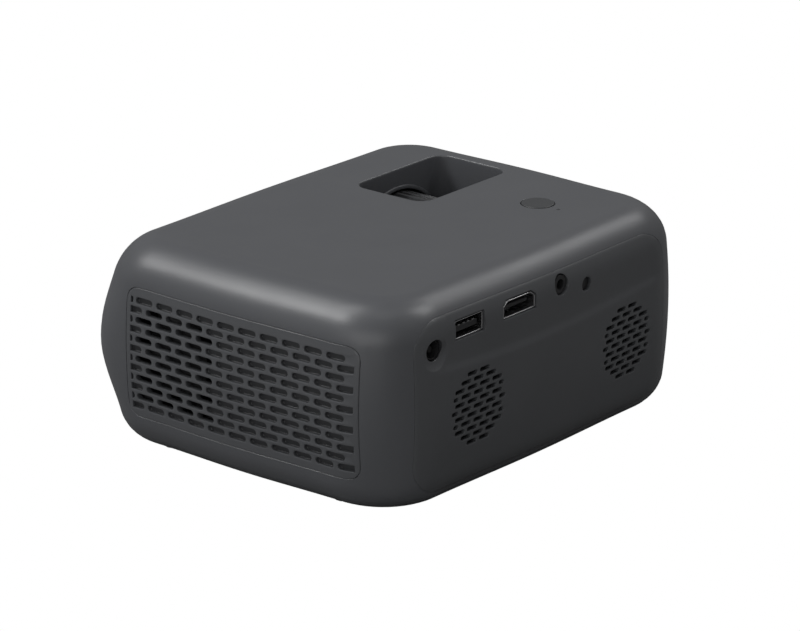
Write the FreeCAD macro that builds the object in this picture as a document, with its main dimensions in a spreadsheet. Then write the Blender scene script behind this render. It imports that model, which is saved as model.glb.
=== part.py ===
import FreeCAD, Part
import math
import os
import Sketcher
from FreeCAD import Placement, Rotation, Vector

# Compact video projector with a slim disc drive in its base.
# Millimetres. +Z is up, the lens looks along -Y, the sockets are on +Y and the air outlet on +X.
# The origin is the middle of the overall box in plan, at the level that the feet stand on.

doc = FreeCAD.newDocument("projector")

# ---------------------------------------------------------------- driving dimensions
driving = {
    # outer form
    "body_width": 162.4, "body_depth": 128.8, "body_height": 68.8,
    "rear_corner": 24.8, "front_corner": 20.7, "top_round": 12.3, "bottom_round": 10.1,
    "side_crown": 1.0, "end_crown": 0.9, "side_belly": 2.9, "end_belly": 1.3,
    "nose_depth": 6.35, "nose_height": 33.1, "nose_rise": 33.7, "nose_drop": 27.9,
    "nose_rise_power": 2.4, "nose_drop_power": 2.48,
    "wall": 2.2, "floor_wall": 2.0, "base_edge": 4.5, "seam": 0.15, "foot_height": 1.0,
    # finger well above the focus ring
    "well_half": 23.0, "well_from_front": 30.7, "well_length": 29.9, "well_depth": 21.8,
    "well_corner": 5.3, "well_wall": 1.2, "arch_gap": 0.9, "arch_rim": 1.3, "arch_proud": 0.6,
    # lens
    "lens_from_left": 40.8, "lens_height": 36.8, "ring_radius": 23.6, "ring_length": 36.0,
    "rib_height": 0.9, "rib_width": 1.5, "sleeve_radius": 19.0, "barrel_radius": 17.0,
    "tube_wall": 2.0, "running_gap": 0.05, "move_gap": 0.3, "focus_travel": 2.4,
    # lens panel in the nose
    "panel_half": 66.0, "panel_low": 14.5, "panel_high": 60.2, "panel_corner": 8.0,
    "trim_width": 2.4, "lens_window": 18.6,
    # power button and light
    "button_from_left": 39.8, "button_from_rear": 38.9, "button_radius": 5.5, "button_gap": 0.25,
    "button_travel": 0.8, "light_step": 9.3, "light_radius": 0.7,
    # air outlet
    "vent_from_front": 17.4, "vent_from_rear": 15.7, "vent_low": 12.25, "vent_from_top": 12.45,
    "vent_corner": 4.6, "slot_length": 7.15, "slot_width": 2.2, "slot_pitch": 8.85,
    "row_pitch": 3.258, "first_slot": 7.6, "first_row": 4.3, "slot_margin": 1.85, "blind_depth": 1.4,
    # rear panel, sockets and loudspeakers
    "rear_left": 19.7, "rear_right": 15.2, "rear_low": 5.6, "rear_from_top": 5.7, "rear_round": 11.0,
    "dc_from_right": 23.4, "dc_from_top": 15.5, "dc_hole": 3.3, "dc_seat": 6.8, "dc_seat_depth": 2.6,
    "usb_from_right": 40.2, "usb_from_top": 11.85, "usb_wide": 13.6, "usb_high": 5.9,
    "hdmi_from_right": 64.5, "hdmi_from_top": 11.3, "hdmi_wide": 15.6, "hdmi_high": 5.5,
    "phone_from_right": 86.2, "phone_from_top": 10.4, "phone_hole": 3.3,
    "eye_from_right": 99.4, "eye_from_top": 13.6, "eye_hole": 2.3,
    "shell_gap": 0.25, "shell_sheet": 0.4, "socket_depth": 12.0,
    "right_speaker": 43.8, "left_speaker": 41.0, "speaker_height": 29.9, "speaker_radius": 14.5,
    "speaker_pitch": 6.05, "speaker_row": 2.285, "speaker_slot": 4.84, "speaker_slot_width": 1.47,
    # disc drive
    "disc_radius": 60.0, "disc_play": 0.4, "disc_front_gap": 3.8, "drive_height": 10.2,
    "drive_sheet": 0.5, "rail_sheet": 0.9, "rail_height": 2.0, "tray_rim": 2.8, "tray_plate": 1.0,
    "tray_lip": 1.4, "pan_from_front": 9.5, "pan_from_rear": 16.4, "bezel_wall": 1.4,
    "bezel_low": 3.6,
    "motor_radius": 13.0, "hub_radius": 7.3, "turntable_radius": 13.0, "pickup_angle": 30.0,
    "rod_radius": 0.75, "rod_spread": 12.5, "screw_radius": 0.8,
    "screw_spread": 17.0, "eject_x": 50.0,
    # light engine
    "optic_gap": 2.0, "duct_half": 21.5, "duct_high": 17.0, "duct_wall": 1.6, "lcd_from_mirror": 26.4,
    "fan_size": 42.0, "fan_depth": 10.0, "fan_from_side": 5.2, "fan_from_vent": 20.35, "fan_drop": 22.15,
    "fin_pitch": 4.4, "fin_sheet": 1.2, "board_sheet": 1.6, "board_drop": 15.8,
    # fasteners
    "foot_radius": 5.0, "post_radius": 3.5, "post_from_side": 10.7, "post_reach": 36.0, "case_screw": 1.25,
}

sheet = doc.addObject("Spreadsheet::Sheet", "Sizes")
for line, (name, number) in enumerate(driving.items(), start=1):
    sheet.set(f"A{line}", name)
    sheet.set(f"B{line}", str(number))
    sheet.setAlias(f"B{line}", name)
doc.recompute()


class Size:
    """A length that keeps both its value and the sheet formula it follows from."""

    def __init__(self, value, text):
        self.value = value
        self.text = text

    def __add__(self, other):
        return combine(self, "+", other)

    def __radd__(self, other):
        return combine(other, "+", self)

    def __sub__(self, other):
        return combine(self, "-", other)

    def __rsub__(self, other):
        return combine(other, "-", self)

    def __mul__(self, other):
        return combine(self, "*", other)

    def __rmul__(self, other):
        return combine(other, "*", self)

    def __truediv__(self, other):
        return combine(self, "/", other)

    def __neg__(self):
        return combine(0, "-", self)

    def __float__(self):
        return float(self.value)


def combine(left, sign, right):
    first, second = float(left), float(right)
    result = {"+": first + second, "-": first - second, "*": first * second}.get(sign)
    if sign == "/":
        result = first / second
    return Size(result, f"({formula(left)} {sign} {formula(right)})")


def formula(number):
    return number.text if isinstance(number, Size) else f"({float(number):.6f})"


def size(name):
    return Size(float(sheet.get(name)), f"Sizes.{name}")


def bind(thing, prop, number):
    """Tie a property of a feature to the sheet."""
    thing.setExpression(prop, formula(number))


# ---------------------------------------------------------------- shared levels and places
wall, seam, runGap, moveGap = size("wall"), size("seam"), size("running_gap"), size("move_gap")
bodyY = size("nose_depth") / 2
leftX, rightX = -size("body_width") / 2, size("body_width") / 2
frontY, rearY = bodyY - size("body_depth") / 2, bodyY + size("body_depth") / 2
noseY = frontY - size("nose_depth")
underZ, topZ = size("foot_height"), size("foot_height") + size("body_height")
floorZ = underZ + size("floor_wall")
partingZ = underZ + size("base_edge")

lensX, lensZ = leftX + size("lens_from_left"), underZ + size("lens_height")
wellFront = frontY + size("well_from_front")
wellRear = wellFront + size("well_length")
wellLeft, wellRight = lensX - size("well_half"), lensX + size("well_half")
wellZ = topZ - size("well_depth")
buttonX, buttonY = leftX + size("button_from_left"), rearY - size("button_from_rear")
lightY = buttonY + size("light_step")

ventFront, ventRear = frontY + size("vent_from_front"), rearY - size("vent_from_rear")
ventLow, ventHigh = underZ + size("vent_low"), topZ - size("vent_from_top")
rearLeft, rearRight = leftX + size("rear_left"), rightX - size("rear_right")
rearLow, rearHigh = underZ + size("rear_low"), topZ - size("rear_from_top")

driveZ = floorZ
driveTop = driveZ + size("drive_height")
discY = frontY + size("disc_front_gap") + size("disc_radius")
trayHalf = size("disc_radius") + size("disc_play") + size("tray_rim")
railHalf = trayHalf + moveGap + size("rail_sheet")
driveHalf = railHalf + moveGap
panEdge = driveHalf + size("drive_sheet")
panFront, panRear = frontY + size("pan_from_front"), rearY - size("pan_from_rear")
bezelLow = underZ + size("bezel_low")
bezelHigh = driveTop - moveGap
trayLow = bezelLow + 0.1

opticFront = wellRear + size("optic_gap")
lightAxisY = opticFront + size("duct_wall") + size("duct_half")
ductLow, ductHigh = lensZ - size("duct_high"), lensZ + size("duct_high")
boardZ = topZ - size("board_drop")

# ---------------------------------------------------------------- feature helpers
nodes = []


def node(label, thing):
    """Name a finished sub-part; its label is its file."""
    thing.Label = label
    nodes.append(thing)
    return thing


def moveTo(thing, place):
    for letter, number in zip("xyz", place):
        bind(thing, f"Placement.Base.{letter}", number)


def box(low, high, name="Block"):
    block = doc.addObject("Part::Box", name)
    for prop, start, end in zip(("Length", "Width", "Height"), low, high):
        bind(block, prop, combine(end, "-", start))
    moveTo(block, low)
    return block


turns = {"X": Rotation(Vector(0, 1, 0), 90), "Y": Rotation(Vector(1, 0, 0), -90), "Z": Rotation()}


def cylinder(start, axis, radius, length, name="Round"):
    """A round bar from start along +axis."""
    rod = doc.addObject("Part::Cylinder", name)
    rod.Placement = Placement(Vector(), turns[axis])
    bind(rod, "Radius", radius)
    bind(rod, "Height", length)
    moveTo(rod, start)
    return rod


def cone(start, axis, startRadius, endRadius, length):
    taper = doc.addObject("Part::Cone", "Taper")
    taper.Placement = Placement(Vector(), turns[axis])
    bind(taper, "Radius1", startRadius)
    bind(taper, "Radius2", endRadius)
    bind(taper, "Height", length)
    moveTo(taper, start)
    return taper


def fuse(*pieces):
    joined = doc.addObject("Part::MultiFuse", "Joined")
    joined.Shapes = list(pieces)
    return joined


def group(*pieces):
    several = doc.addObject("Part::Compound", "Several")
    several.Links = list(pieces)
    return several


def cut(base, *tools):
    trimmed = doc.addObject("Part::Cut", "Trimmed")
    trimmed.Base = base
    trimmed.Tool = tools[0] if len(tools) == 1 else group(*tools)
    return trimmed


def common(first, second):
    shared = doc.addObject("Part::Common", "Shared")
    shared.Base = first
    shared.Tool = second
    return shared


def roundedBox(low, high, radius, axis):
    """A box whose four edges along one axis are rounded."""
    block = box(low, high)
    doc.recompute()
    rounded = doc.addObject("Part::Fillet", "Rounded")
    rounded.Base = block
    across = {"X": Vector(1, 0, 0), "Y": Vector(0, 1, 0), "Z": Vector(0, 0, 1)}[axis]
    edges = []
    for index, edge in enumerate(block.Shape.Edges, start=1):
        if abs(edge.tangentAt(edge.FirstParameter).dot(across)) > 0.9:
            edges.append((index, float(radius), float(radius)))
    rounded.Edges = edges
    return rounded


def solidFeature(name, shape):
    """A free-form shape that no primitive or sketch gives."""
    feature = doc.addObject("Part::Feature", name)
    feature.Shape = shape
    return feature


def newBody(name):
    return doc.addObject("PartDesign::Body", name)


def newSketch(body, role, offset=0):
    """A sketch on one of the body's own origin planes, set off along the plane's normal."""
    sketch = body.newObject("Sketcher::SketchObject", "Outline")
    plane = next(item for item in body.Origin.OriginFeatures if item.Role == role)
    sketch.AttachmentSupport = [(plane, "")]
    sketch.MapMode = "FlatFace"
    bind(sketch, "AttachmentOffset.Base.z", offset)
    return sketch


def tie(sketch, kind, geometry, point, number):
    """Hold a sketch point or radius at a sheet value."""
    if kind == "Radius":
        index = sketch.addConstraint(Sketcher.Constraint("Radius", geometry, float(number)))
    else:
        index = sketch.addConstraint(Sketcher.Constraint(kind, -1, 1, geometry, point, float(number)))
    sketch.setExpression(f"Constraints[{index}]", formula(number))


def polygon(sketch, points):
    """A closed outline of straight runs through sheet-driven points."""
    corners = [Vector(float(x), float(y), 0) for x, y in points]
    first = sketch.GeometryCount
    count = len(corners)
    for index in range(count):
        sketch.addGeometry(Part.LineSegment(corners[index], corners[(index + 1) % count]), False)
    for index in range(count):
        following = first + (index + 1) % count
        sketch.addConstraint(Sketcher.Constraint("Coincident", first + index, 2, following, 1))
    for index, (x, y) in enumerate(points):
        tie(sketch, "DistanceX", first + index, 1, x)
        tie(sketch, "DistanceY", first + index, 1, y)


def circle(sketch, x, y, radius):
    shape = Part.Circle(Vector(float(x), float(y), 0), Vector(0, 0, 1), float(radius))
    index = sketch.addGeometry(shape, False)
    tie(sketch, "DistanceX", index, 3, x)
    tie(sketch, "DistanceY", index, 3, y)
    tie(sketch, "Radius", index, 3, radius)


def rectangle(sketch, left, low, right, high):
    polygon(sketch, [(left, low), (right, low), (right, high), (left, high)])


def pad(body, sketch, length, backwards=False):
    feature = body.newObject("PartDesign::Pad", "Pad")
    feature.Profile = sketch
    feature.Reversed = backwards
    bind(feature, "Length", length)
    return feature


def pocket(body, sketch, length, backwards=False):
    feature = body.newObject("PartDesign::Pocket", "Pocket")
    feature.Profile = sketch
    feature.Reversed = backwards
    bind(feature, "Length", length)
    return feature


def turned(name, points, place, axis):
    """A turned piece: outline points are (radius, distance along the axis)."""
    body = newBody(name)
    sketch = newSketch(body, "XZ_Plane")
    polygon(sketch, points)
    feature = body.newObject("PartDesign::Revolution", "Turned")
    feature.Profile = sketch
    feature.ReferenceAxis = (sketch, ["V_Axis"])
    feature.Angle = 360
    body.Placement = Placement(Vector(), turns[axis])
    moveTo(body, place)
    return body


def addPattern(body, feature, count):
    """Repeat a feature about the body's own Z axis."""
    pattern = body.newObject("PartDesign::PolarPattern", "Repeat")
    pattern.Originals = [feature]
    zAxis = next(item for item in body.Origin.OriginFeatures if item.Role == "Z_Axis")
    pattern.Axis = (zAxis, [""])
    pattern.Angle = 360
    pattern.Occurrences = count
    body.Tip = pattern
    return pattern


# ---------------------------------------------------------------- outer form
def noseReach(height):
    """How far the nose stands out of the front at a height above the underside."""
    fromCentre = height - float(size("nose_height"))
    half = "nose_rise" if fromCentre > 0 else "nose_drop"
    power = float(size(half + "_power"))
    return float(size("nose_depth")) * max(1 - (fromCentre / float(size(half))) ** 2, 0) ** power


def formLevel(height, inset):
    """Half width, half depth and corner inset of the form at a height above the underside."""
    top, bottom = float(size("top_round")) - inset, float(size("bottom_round")) - inset
    total = float(size("body_height"))
    rounding = 0
    if height < inset + bottom:
        rounding = bottom - math.sqrt(max(bottom ** 2 - (inset + bottom - height) ** 2, 0))
    if height > total - inset - top:
        rounding = top - math.sqrt(max(top ** 2 - (height - total + inset + top) ** 2, 0))
    tilt = (2 * height / total - 1) ** 2
    halfWidth = float(rightX) - inset - rounding - float(size("side_belly")) * tilt
    halfDepth = float(size("body_depth")) / 2 - inset - rounding - float(size("end_belly")) * tilt
    return halfWidth, halfDepth, inset + rounding


def arcEdge(first, middle, last, height):
    points = [Vector(x, y, height) for x, y in (first, middle, last)]
    return Part.Arc(*points).toShape()


def formRing(height, inset):
    """The closed plan outline at one height: four crowned sides and four corner arcs."""
    halfWidth, halfDepth, corner = formLevel(height, inset)
    centreY, z = float(bodyY), height + float(underZ)
    sideCrown, endCrown = float(size("side_crown")), float(size("end_crown"))
    rear, front = centreY + halfDepth, centreY - halfDepth - noseReach(height)
    side, rearEnd, frontEnd = halfWidth - sideCrown, rear - endCrown, front + endCrown
    rearRound = max(float(size("rear_corner")) - corner, 1)
    frontRound = max(float(size("front_corner")) - corner, 1)
    bend = math.sqrt(0.5)
    sideRear, sideFront = rearEnd - rearRound, frontEnd + frontRound
    rearX, frontX = side - rearRound, side - frontRound
    middleY = (sideRear + sideFront) / 2
    edges = [
        arcEdge((side, sideFront), (halfWidth, middleY), (side, sideRear), z),
        arcEdge((side, sideRear), (rearX + rearRound * bend, sideRear + rearRound * bend),
                (rearX, rearEnd), z),
        arcEdge((rearX, rearEnd), (0, rear), (-rearX, rearEnd), z),
        arcEdge((-rearX, rearEnd), (-rearX - rearRound * bend, sideRear + rearRound * bend),
                (-side, sideRear), z),
        arcEdge((-side, sideRear), (-halfWidth, middleY), (-side, sideFront), z),
        arcEdge((-side, sideFront), (-frontX - frontRound * bend, sideFront - frontRound * bend),
                (-frontX, frontEnd), z),
        arcEdge((-frontX, frontEnd), (0, front), (frontX, frontEnd), z),
        arcEdge((frontX, frontEnd), (frontX + frontRound * bend, sideFront - frontRound * bend),
                (side, sideFront), z),
    ]
    return Part.Wire(edges)


def outerForm(name, inset):
    """The whole form, set in from the outside by an amount."""
    total, top, bottom = (float(size(name)) for name in ("body_height", "top_round", "bottom_round"))
    steps, sideSteps = 5, 10
    heights = [inset + (bottom - inset) * (1 - math.cos(math.pi / 2 * i / steps)) for i in range(steps + 1)]
    heights += [bottom + (total - top - bottom) * i / sideSteps for i in range(1, sideSteps + 1)]
    heights += [total - top + (top - inset) * math.sin(math.pi / 2 * i / steps) for i in range(1, steps + 1)]
    return solidFeature(name, Part.makeLoft([formRing(height, inset) for height in heights], True, False))


outside = outerForm("OutsideForm", 0)
inside = outerForm("InsideForm", float(wall))
thinInside = outerForm("BezelInsideForm", float(size("bezel_wall")))
skin = cut(outside, inside)
doc.recompute()

farLeft, farRight, farFront, farRear = leftX - 5, rightX + 5, noseY - 5, rearY + 5


def sideX(y, z):
    """X of the outlet side's surface near the middle of that side."""
    halfWidth, _, _ = formLevel(z - float(underZ), 0)
    reach = (y - float(bodyY)) / (float(size("body_depth")) / 2 - float(size("rear_corner")))
    return halfWidth - float(size("side_crown")) * min(reach ** 2, 1)


# ---------------------------------------------------------------- casing
trayOpening = box((-driveHalf - 0.1, farFront, bezelLow - moveGap), (driveHalf + 0.1, frontY + 9, driveTop))
ventOpening = roundedBox((rightX - 11, ventFront, ventLow), (farRight, ventRear, ventHigh),
                         size("vent_corner"), "X")
rearOpening = roundedBox((rearLeft, rearY - 13, rearLow), (rearRight, farRear, rearHigh),
                         size("rear_round"), "Y")
panelOpening = roundedBox((-size("panel_half"), farFront, underZ + size("panel_low")),
                          (size("panel_half"), frontY + 8, underZ + size("panel_high")),
                          size("panel_corner"), "Y")

wellSpace = roundedBox((wellLeft, wellFront, wellZ - 1), (wellRight, wellRear, topZ + 5),
                       size("well_corner"), "Z")
wellWall = size("well_wall")
wellBlock = roundedBox((wellLeft - wellWall, wellFront - wellWall, wellZ),
                       (wellRight + wellWall, wellRear + wellWall, topZ - wall),
                       size("well_corner") + wellWall, "Z")
archRadius = size("ring_radius") + size("arch_gap")
archRim = cut(cylinder((lensX, wellFront - wellWall, lensZ), "Y", archRadius + size("arch_rim"),
                       wellWall + size("arch_proud")),
              box((farLeft, wellFront - 5, underZ), (farRight, wellRear, wellZ)))
archSpace = cylinder((lensX, wellFront - 2, lensZ), "Y", archRadius, size("well_length") + 1.7)
sleeveHole = cylinder((lensX, wellRear - 1, lensZ), "Y", size("sleeve_radius") + 0.4, wellWall + 2)
buttonHole = cylinder((buttonX, buttonY, topZ - 8), "Z", size("button_radius") + size("button_gap"), 12)
lightHole = cylinder((lensX, lightY, topZ - 8), "Z", size("light_radius"), 12)

postSpots = [(sideways * (rightX - size("post_from_side")), bodyY + along * size("post_reach"))
             for sideways in (-1, 1) for along in (-1, 1)]
postTop = driveTop + 1.0
posts = [cylinder((x, y, partingZ), "Z", size("post_radius"), postTop - partingZ) for x, y in postSpots]
ribs = [box((rightX - size("post_from_side"), y - 0.8, partingZ), (rightX, y + 0.8, postTop))
        for x, y in postSpots[2:]]
ribs += [box((leftX, y - 0.8, partingZ), (leftX + size("post_from_side"), y + 0.8, postTop))
         for x, y in postSpots[:2]]
boardPostSpots = [(rightX - size("eye_from_right") - 3.5, rearY - 12),
                  (rightX - size("dc_from_right") - 8.0, rearY - 50), (rightX - 47.0, rearY - 50)]
boardPosts = [cylinder((x, y, boardZ), "Z", 2.5, topZ - wall + 1 - boardZ) for x, y in boardPostSpots]
fittings = common(fuse(*posts, *ribs, *boardPosts, wellBlock), solidFeature("FillForm", outside.Shape))
pilotHoles = [cylinder((x, y, partingZ - 1), "Z", size("case_screw") + runGap, 8) for x, y in postSpots]
upperRegion = box((farLeft, farFront, partingZ), (farRight, farRear, topZ + 5))
upperShell = cut(fuse(common(skin, upperRegion), fittings, archRim),
                 trayOpening, ventOpening, rearOpening, panelOpening, wellSpace, archSpace,
                 sleeveHole, buttonHole, lightHole, *pilotHoles)
node("upper_shell", upperShell)

baseRegion = box((farLeft, farFront, underZ - 2), (farRight, farRear, partingZ))
floorCut = box((-panEdge - 0.2, panFront - 0.2, floorZ), (panEdge + 0.2, panRear + 0.2, partingZ + 1))
padX, padY = rightX - 32, size("body_depth") / 2 - 26
padSpots = [(a * padX, bodyY + b * padY) for a in (-1, 1) for b in (-1, 1)]
padSink = 0.6
padHoles = [cylinder((x, y, underZ - 1), "Z", size("foot_radius") + 0.2, padSink + 1) for x, y in padSpots]
screwHoles = [cylinder((x, y, underZ - 1), "Z", size("case_screw") + 0.3, 9) for x, y in postSpots]
screwSinks = [cylinder((x, y, underZ - 1), "Z", 2.7, 3.6) for x, y in postSpots]
baseCover = cut(common(skin, baseRegion), floorCut, trayOpening, *padHoles, *screwHoles, *screwSinks)
node("base_cover", baseCover)

screwPieces = []
for x, y in postSpots:
    screwPieces += [fuse(cylinder((x, y, underZ + 1.2), "Z", 2.5, 1.4),
                         cylinder((x, y, underZ + 2.6), "Z", size("case_screw"), 8))]
node("case_screws", group(*screwPieces))
node("foot_pads", group(*[cylinder((x, y, 0), "Z", size("foot_radius"), underZ + padSink)
                          for x, y in padSpots]))


def slotShape(centre, length, width, reach, axis):
    """A round-ended slot lying along Y (axis X) or along X (axis Y), cut inwards from outside."""
    x, y, z = centre
    radius = width / 2
    middle = length / 2 - radius
    shape = Part.makeBox(reach, 2 * middle, width, Vector(-reach, -middle, -radius))
    ends = [Part.makeCylinder(radius, reach, Vector(-reach, sign * middle, 0), Vector(1, 0, 0))
            for sign in (-1, 1)]
    shape = shape.fuse(ends).removeSplitter()
    if axis == "Y":
        shape.rotate(Vector(), Vector(0, 0, 1), 90)
    shape.translate(Vector(x, y, z))
    return shape


def ventSlots():
    """Brick-bonded slots of the outlet: open over the fan, blind recesses elsewhere."""
    pitch, rowPitch = float(size("slot_pitch")), float(size("row_pitch"))
    length, width = float(size("slot_length")), float(size("slot_width"))
    front, rear = float(ventFront + size("slot_margin")), float(ventRear - size("slot_margin"))
    low, high = float(ventLow), float(ventHigh)
    firstY, firstZ = float(ventFront + size("first_slot")), high - float(size("first_row"))
    rows = int((firstZ - low - width) / rowPitch) + 1
    columns = int((rear - firstY) / pitch) + 1
    outer = float(farRight)
    shapes = []
    for row in range(rows):
        z = firstZ - row * rowPitch
        shift = 0.5 if row % 2 else 0
        for column in range(-1, columns):
            middle = firstY + (column + shift) * pitch
            start, end = max(middle - length / 2, front), min(middle + length / 2, rear)
            if end - start < width / 6:
                continue
            isOpen = 0 < row < rows - 1 and -0.1 < column + shift < 3.2
            surface = sideX((start + end) / 2, z)
            depth = outer - surface + (float(wall) + 4 if isOpen else float(size("blind_depth")))
            slot = slotShape((outer, middle, z), length, width, depth, "X")
            if end - start < length - 0.01:
                slot = slot.common(Part.makeBox(depth, end - start, width,
                                                Vector(outer - depth, start, z - width / 2)))
            shapes.append(slot)
    return shapes


def speakerSlots(centreX):
    """Round field of brick-bonded slots in front of one loudspeaker."""
    pitch, rowPitch = float(size("speaker_pitch")), float(size("speaker_row"))
    length, width = float(size("speaker_slot")), float(size("speaker_slot_width"))
    rows = {5: (0.5,), 4: (0, 1), 3: (0.5, 1.5), 2: (0, 1, 1.83), 1: (0.5, 1.5), 0: (0, 1, 1.92)}
    shapes = []
    for row in range(-5, 6):
        z = float(underZ + size("speaker_height")) - row * rowPitch
        for place in rows[abs(row)]:
            slotLength = {1.83: 0.5, 1.92: 0.62}.get(place, 1) * length
            for side in ((-1, 1) if place else (1,)):
                shapes.append(slotShape((centreX + side * place * pitch, float(rearY) + 1, z),
                                        slotLength, width, 8, "Y"))
    return shapes


ventBody = common(skin, roundedBox((rightX - 11, ventFront + seam, ventLow + seam),
                                   (farRight, ventRear - seam, ventHigh - seam),
                                   size("vent_corner") - seam, "X"))
ventCutters = solidFeature("VentSlots", Part.makeCompound(ventSlots()))
node("vent_grille", cut(ventBody, ventCutters))

rightSpeakerX, leftSpeakerX = rightX - size("right_speaker"), leftX + size("left_speaker")
speakerZ = underZ + size("speaker_height")
dcX, dcZ = rightX - size("dc_from_right"), topZ - size("dc_from_top")
usbX, usbZ = rightX - size("usb_from_right"), topZ - size("usb_from_top")
hdmiX, hdmiZ = rightX - size("hdmi_from_right"), topZ - size("hdmi_from_top")
phoneX, phoneZ = rightX - size("phone_from_right"), topZ - size("phone_from_top")
eyeX, eyeZ = rightX - size("eye_from_right"), topZ - size("eye_from_top")
backStart, backEnd = rearY - 12, farRear


def socketOutline(body, x, z, wide, high, chamfer, offset, grow=0):
    """A socket mouth outline on the XZ plane; an HDMI mouth has two of its corners cut off."""
    sketch = newSketch(body, "XZ_Plane", offset)
    left, right = x - wide / 2 - grow, x + wide / 2 + grow
    low, high = z - high / 2 - grow, z + high / 2 + grow
    if chamfer:
        points = [(left, low), (right, low), (right, high - chamfer), (right - chamfer, high),
                  (left + chamfer, high), (left, high - chamfer)]
    else:
        points = [(left, low), (right, low), (right, high), (left, high)]
    polygon(sketch, points)
    return sketch


def socketPrism(name, x, z, wide, high, chamfer, start, depth):
    """A prism from y=start running to +Y."""
    body = newBody(name)
    pad(body, socketOutline(body, x, z, wide, high, chamfer, -start), depth, True)
    return body


usbHole = socketPrism("UsbHole", usbX, usbZ, size("usb_wide"), size("usb_high"), 0, backStart, 20)
hdmiChamfer = 1.9
hdmiHole = socketPrism("HdmiHole", hdmiX, hdmiZ, size("hdmi_wide"), size("hdmi_high"), hdmiChamfer,
                       backStart, 20)
dcSeatY = rearY - size("dc_seat_depth")
rearBody = common(skin, roundedBox((rearLeft + seam, rearY - 13, rearLow + seam),
                                   (rearRight - seam, farRear, rearHigh - seam),
                                   size("rear_round") - seam, "Y"))
speakerCutters = solidFeature("SpeakerSlots", Part.makeCompound(
    speakerSlots(float(rightSpeakerX)) + speakerSlots(float(leftSpeakerX))))
rearHoles = [cylinder((dcX, backStart, dcZ), "Y", size("dc_hole"), 20),
             cylinder((dcX, dcSeatY, dcZ), "Y", size("dc_seat"), 10),
             cylinder((phoneX, backStart, phoneZ), "Y", size("phone_hole"), 20),
             cylinder((eyeX, backStart, eyeZ), "Y", size("eye_hole"), 20)]
node("rear_panel", cut(rearBody, speakerCutters, usbHole, hdmiHole, *rearHoles))

panelHalf = size("panel_half") - seam
panelBody = common(skin, roundedBox((-panelHalf, farFront, underZ + size("panel_low") + seam),
                                    (panelHalf, frontY + 8, underZ + size("panel_high") - seam),
                                    size("panel_corner") - seam, "Y"))
windowRadius = size("lens_window") + size("trim_width")
node("lens_panel", cut(panelBody, cylinder((lensX, farFront, lensZ), "Y", windowRadius + runGap, 40)))
trimFront = noseY + 0.25
trimEnd = size("nose_depth") + 2.5
trimOutline = [(size("lens_window"), 0.0), (windowRadius - 0.6, 0.0), (windowRadius, 0.6),
               (windowRadius, trimEnd), (size("lens_window"), trimEnd)]
node("lens_trim", turned("LensTrim", trimOutline, (lensX, trimFront, lensZ), "Y"))

buttonRest = topZ + 0.2
node("power_button", turned("PowerButton", [
    (0, 0), (2.0, 0), (2.0, 3.2), (size("button_radius"), 3.2), (size("button_radius"), 7.0),
    (0, 7.0)], (buttonX, buttonY, buttonRest - 7.0), "Z"))
node("power_light", turned("PowerLight", [
    (0, 0), (1.6, 0), (1.6, 1.2), (size("light_radius") - 0.03, 1.2),
    (size("light_radius") - 0.03, 9.0), (0, 9.0)], (lensX, lightY, topZ - 9.05), "Z"))

# ---------------------------------------------------------------- projection lens and focus ring
ringFront = wellFront - (size("ring_length") - size("well_length")) - 1.5
ringRear = wellRear - 1.5
ringInner = size("sleeve_radius") + runGap
ringRoot = size("ring_radius") - size("rib_height")
ringBody = newBody("FocusRing")
ringSketch = newSketch(ringBody, "XY_Plane")
circle(ringSketch, 0, 0, ringRoot)
circle(ringSketch, 0, 0, ringInner)
pad(ringBody, ringSketch, ringRear - ringFront)
doc.recompute()
ribSketch = newSketch(ringBody, "XY_Plane", 1.2)
rectangle(ribSketch, -size("rib_width") / 2, ringRoot - 0.5, size("rib_width") / 2, size("ring_radius"))
ribPad = pad(ringBody, ribSketch, ringRear - ringFront - 2.4)
addPattern(ringBody, ribPad, 48)
ringBody.Placement = Placement(Vector(), turns["Y"])
moveTo(ringBody, (lensX, ringFront, lensZ))
node("focus_ring", ringBody)

sleeveRear = opticFront
flangeHalf = ringRoot - 1.0
sleeve = cylinder((lensX, ringFront - 4, lensZ), "Y", size("sleeve_radius"), sleeveRear - ringFront + 4)
flange = box((lensX - flangeHalf, sleeveRear - 2.6, lensZ - flangeHalf),
             (lensX + flangeHalf, sleeveRear, wellZ - 0.4))
sleeveStop = cylinder((lensX, ringFront - 4, lensZ), "Y", size("sleeve_radius") + 1.6, 2.5)
sleeveBore = cylinder((lensX, ringFront - 6, lensZ), "Y", size("barrel_radius") + runGap, 80)
node("lens_mount", cut(fuse(sleeve, flange, sleeveStop), sleeveBore))

barrelFront, barrelRear = noseY + 6.0, sleeveRear - size("focus_travel") - 0.4
barrelLength = barrelRear - barrelFront
barrelRadius, tubeInner = size("barrel_radius"), size("barrel_radius") - size("tube_wall")
frontSeat, rearSeat, middleSeat = 5.0, barrelLength - 6.0, barrelLength / 2
node("lens_barrel", turned("LensBarrel", [
    (tubeInner + 0.4, 0), (barrelRadius, 0), (barrelRadius, barrelLength), (tubeInner - 2.4, barrelLength),
    (tubeInner - 2.4, rearSeat), (tubeInner - 3.6, rearSeat), (tubeInner - 3.6, middleSeat + 6),
    (tubeInner - 2.4, middleSeat + 6), (tubeInner - 2.4, middleSeat), (tubeInner - 1.2, middleSeat),
    (tubeInner - 1.2, frontSeat), (tubeInner, frontSeat), (tubeInner, 2.0), (tubeInner + 0.4, 2.0)],
    (lensX, barrelFront, lensZ), "Y"))


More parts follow.
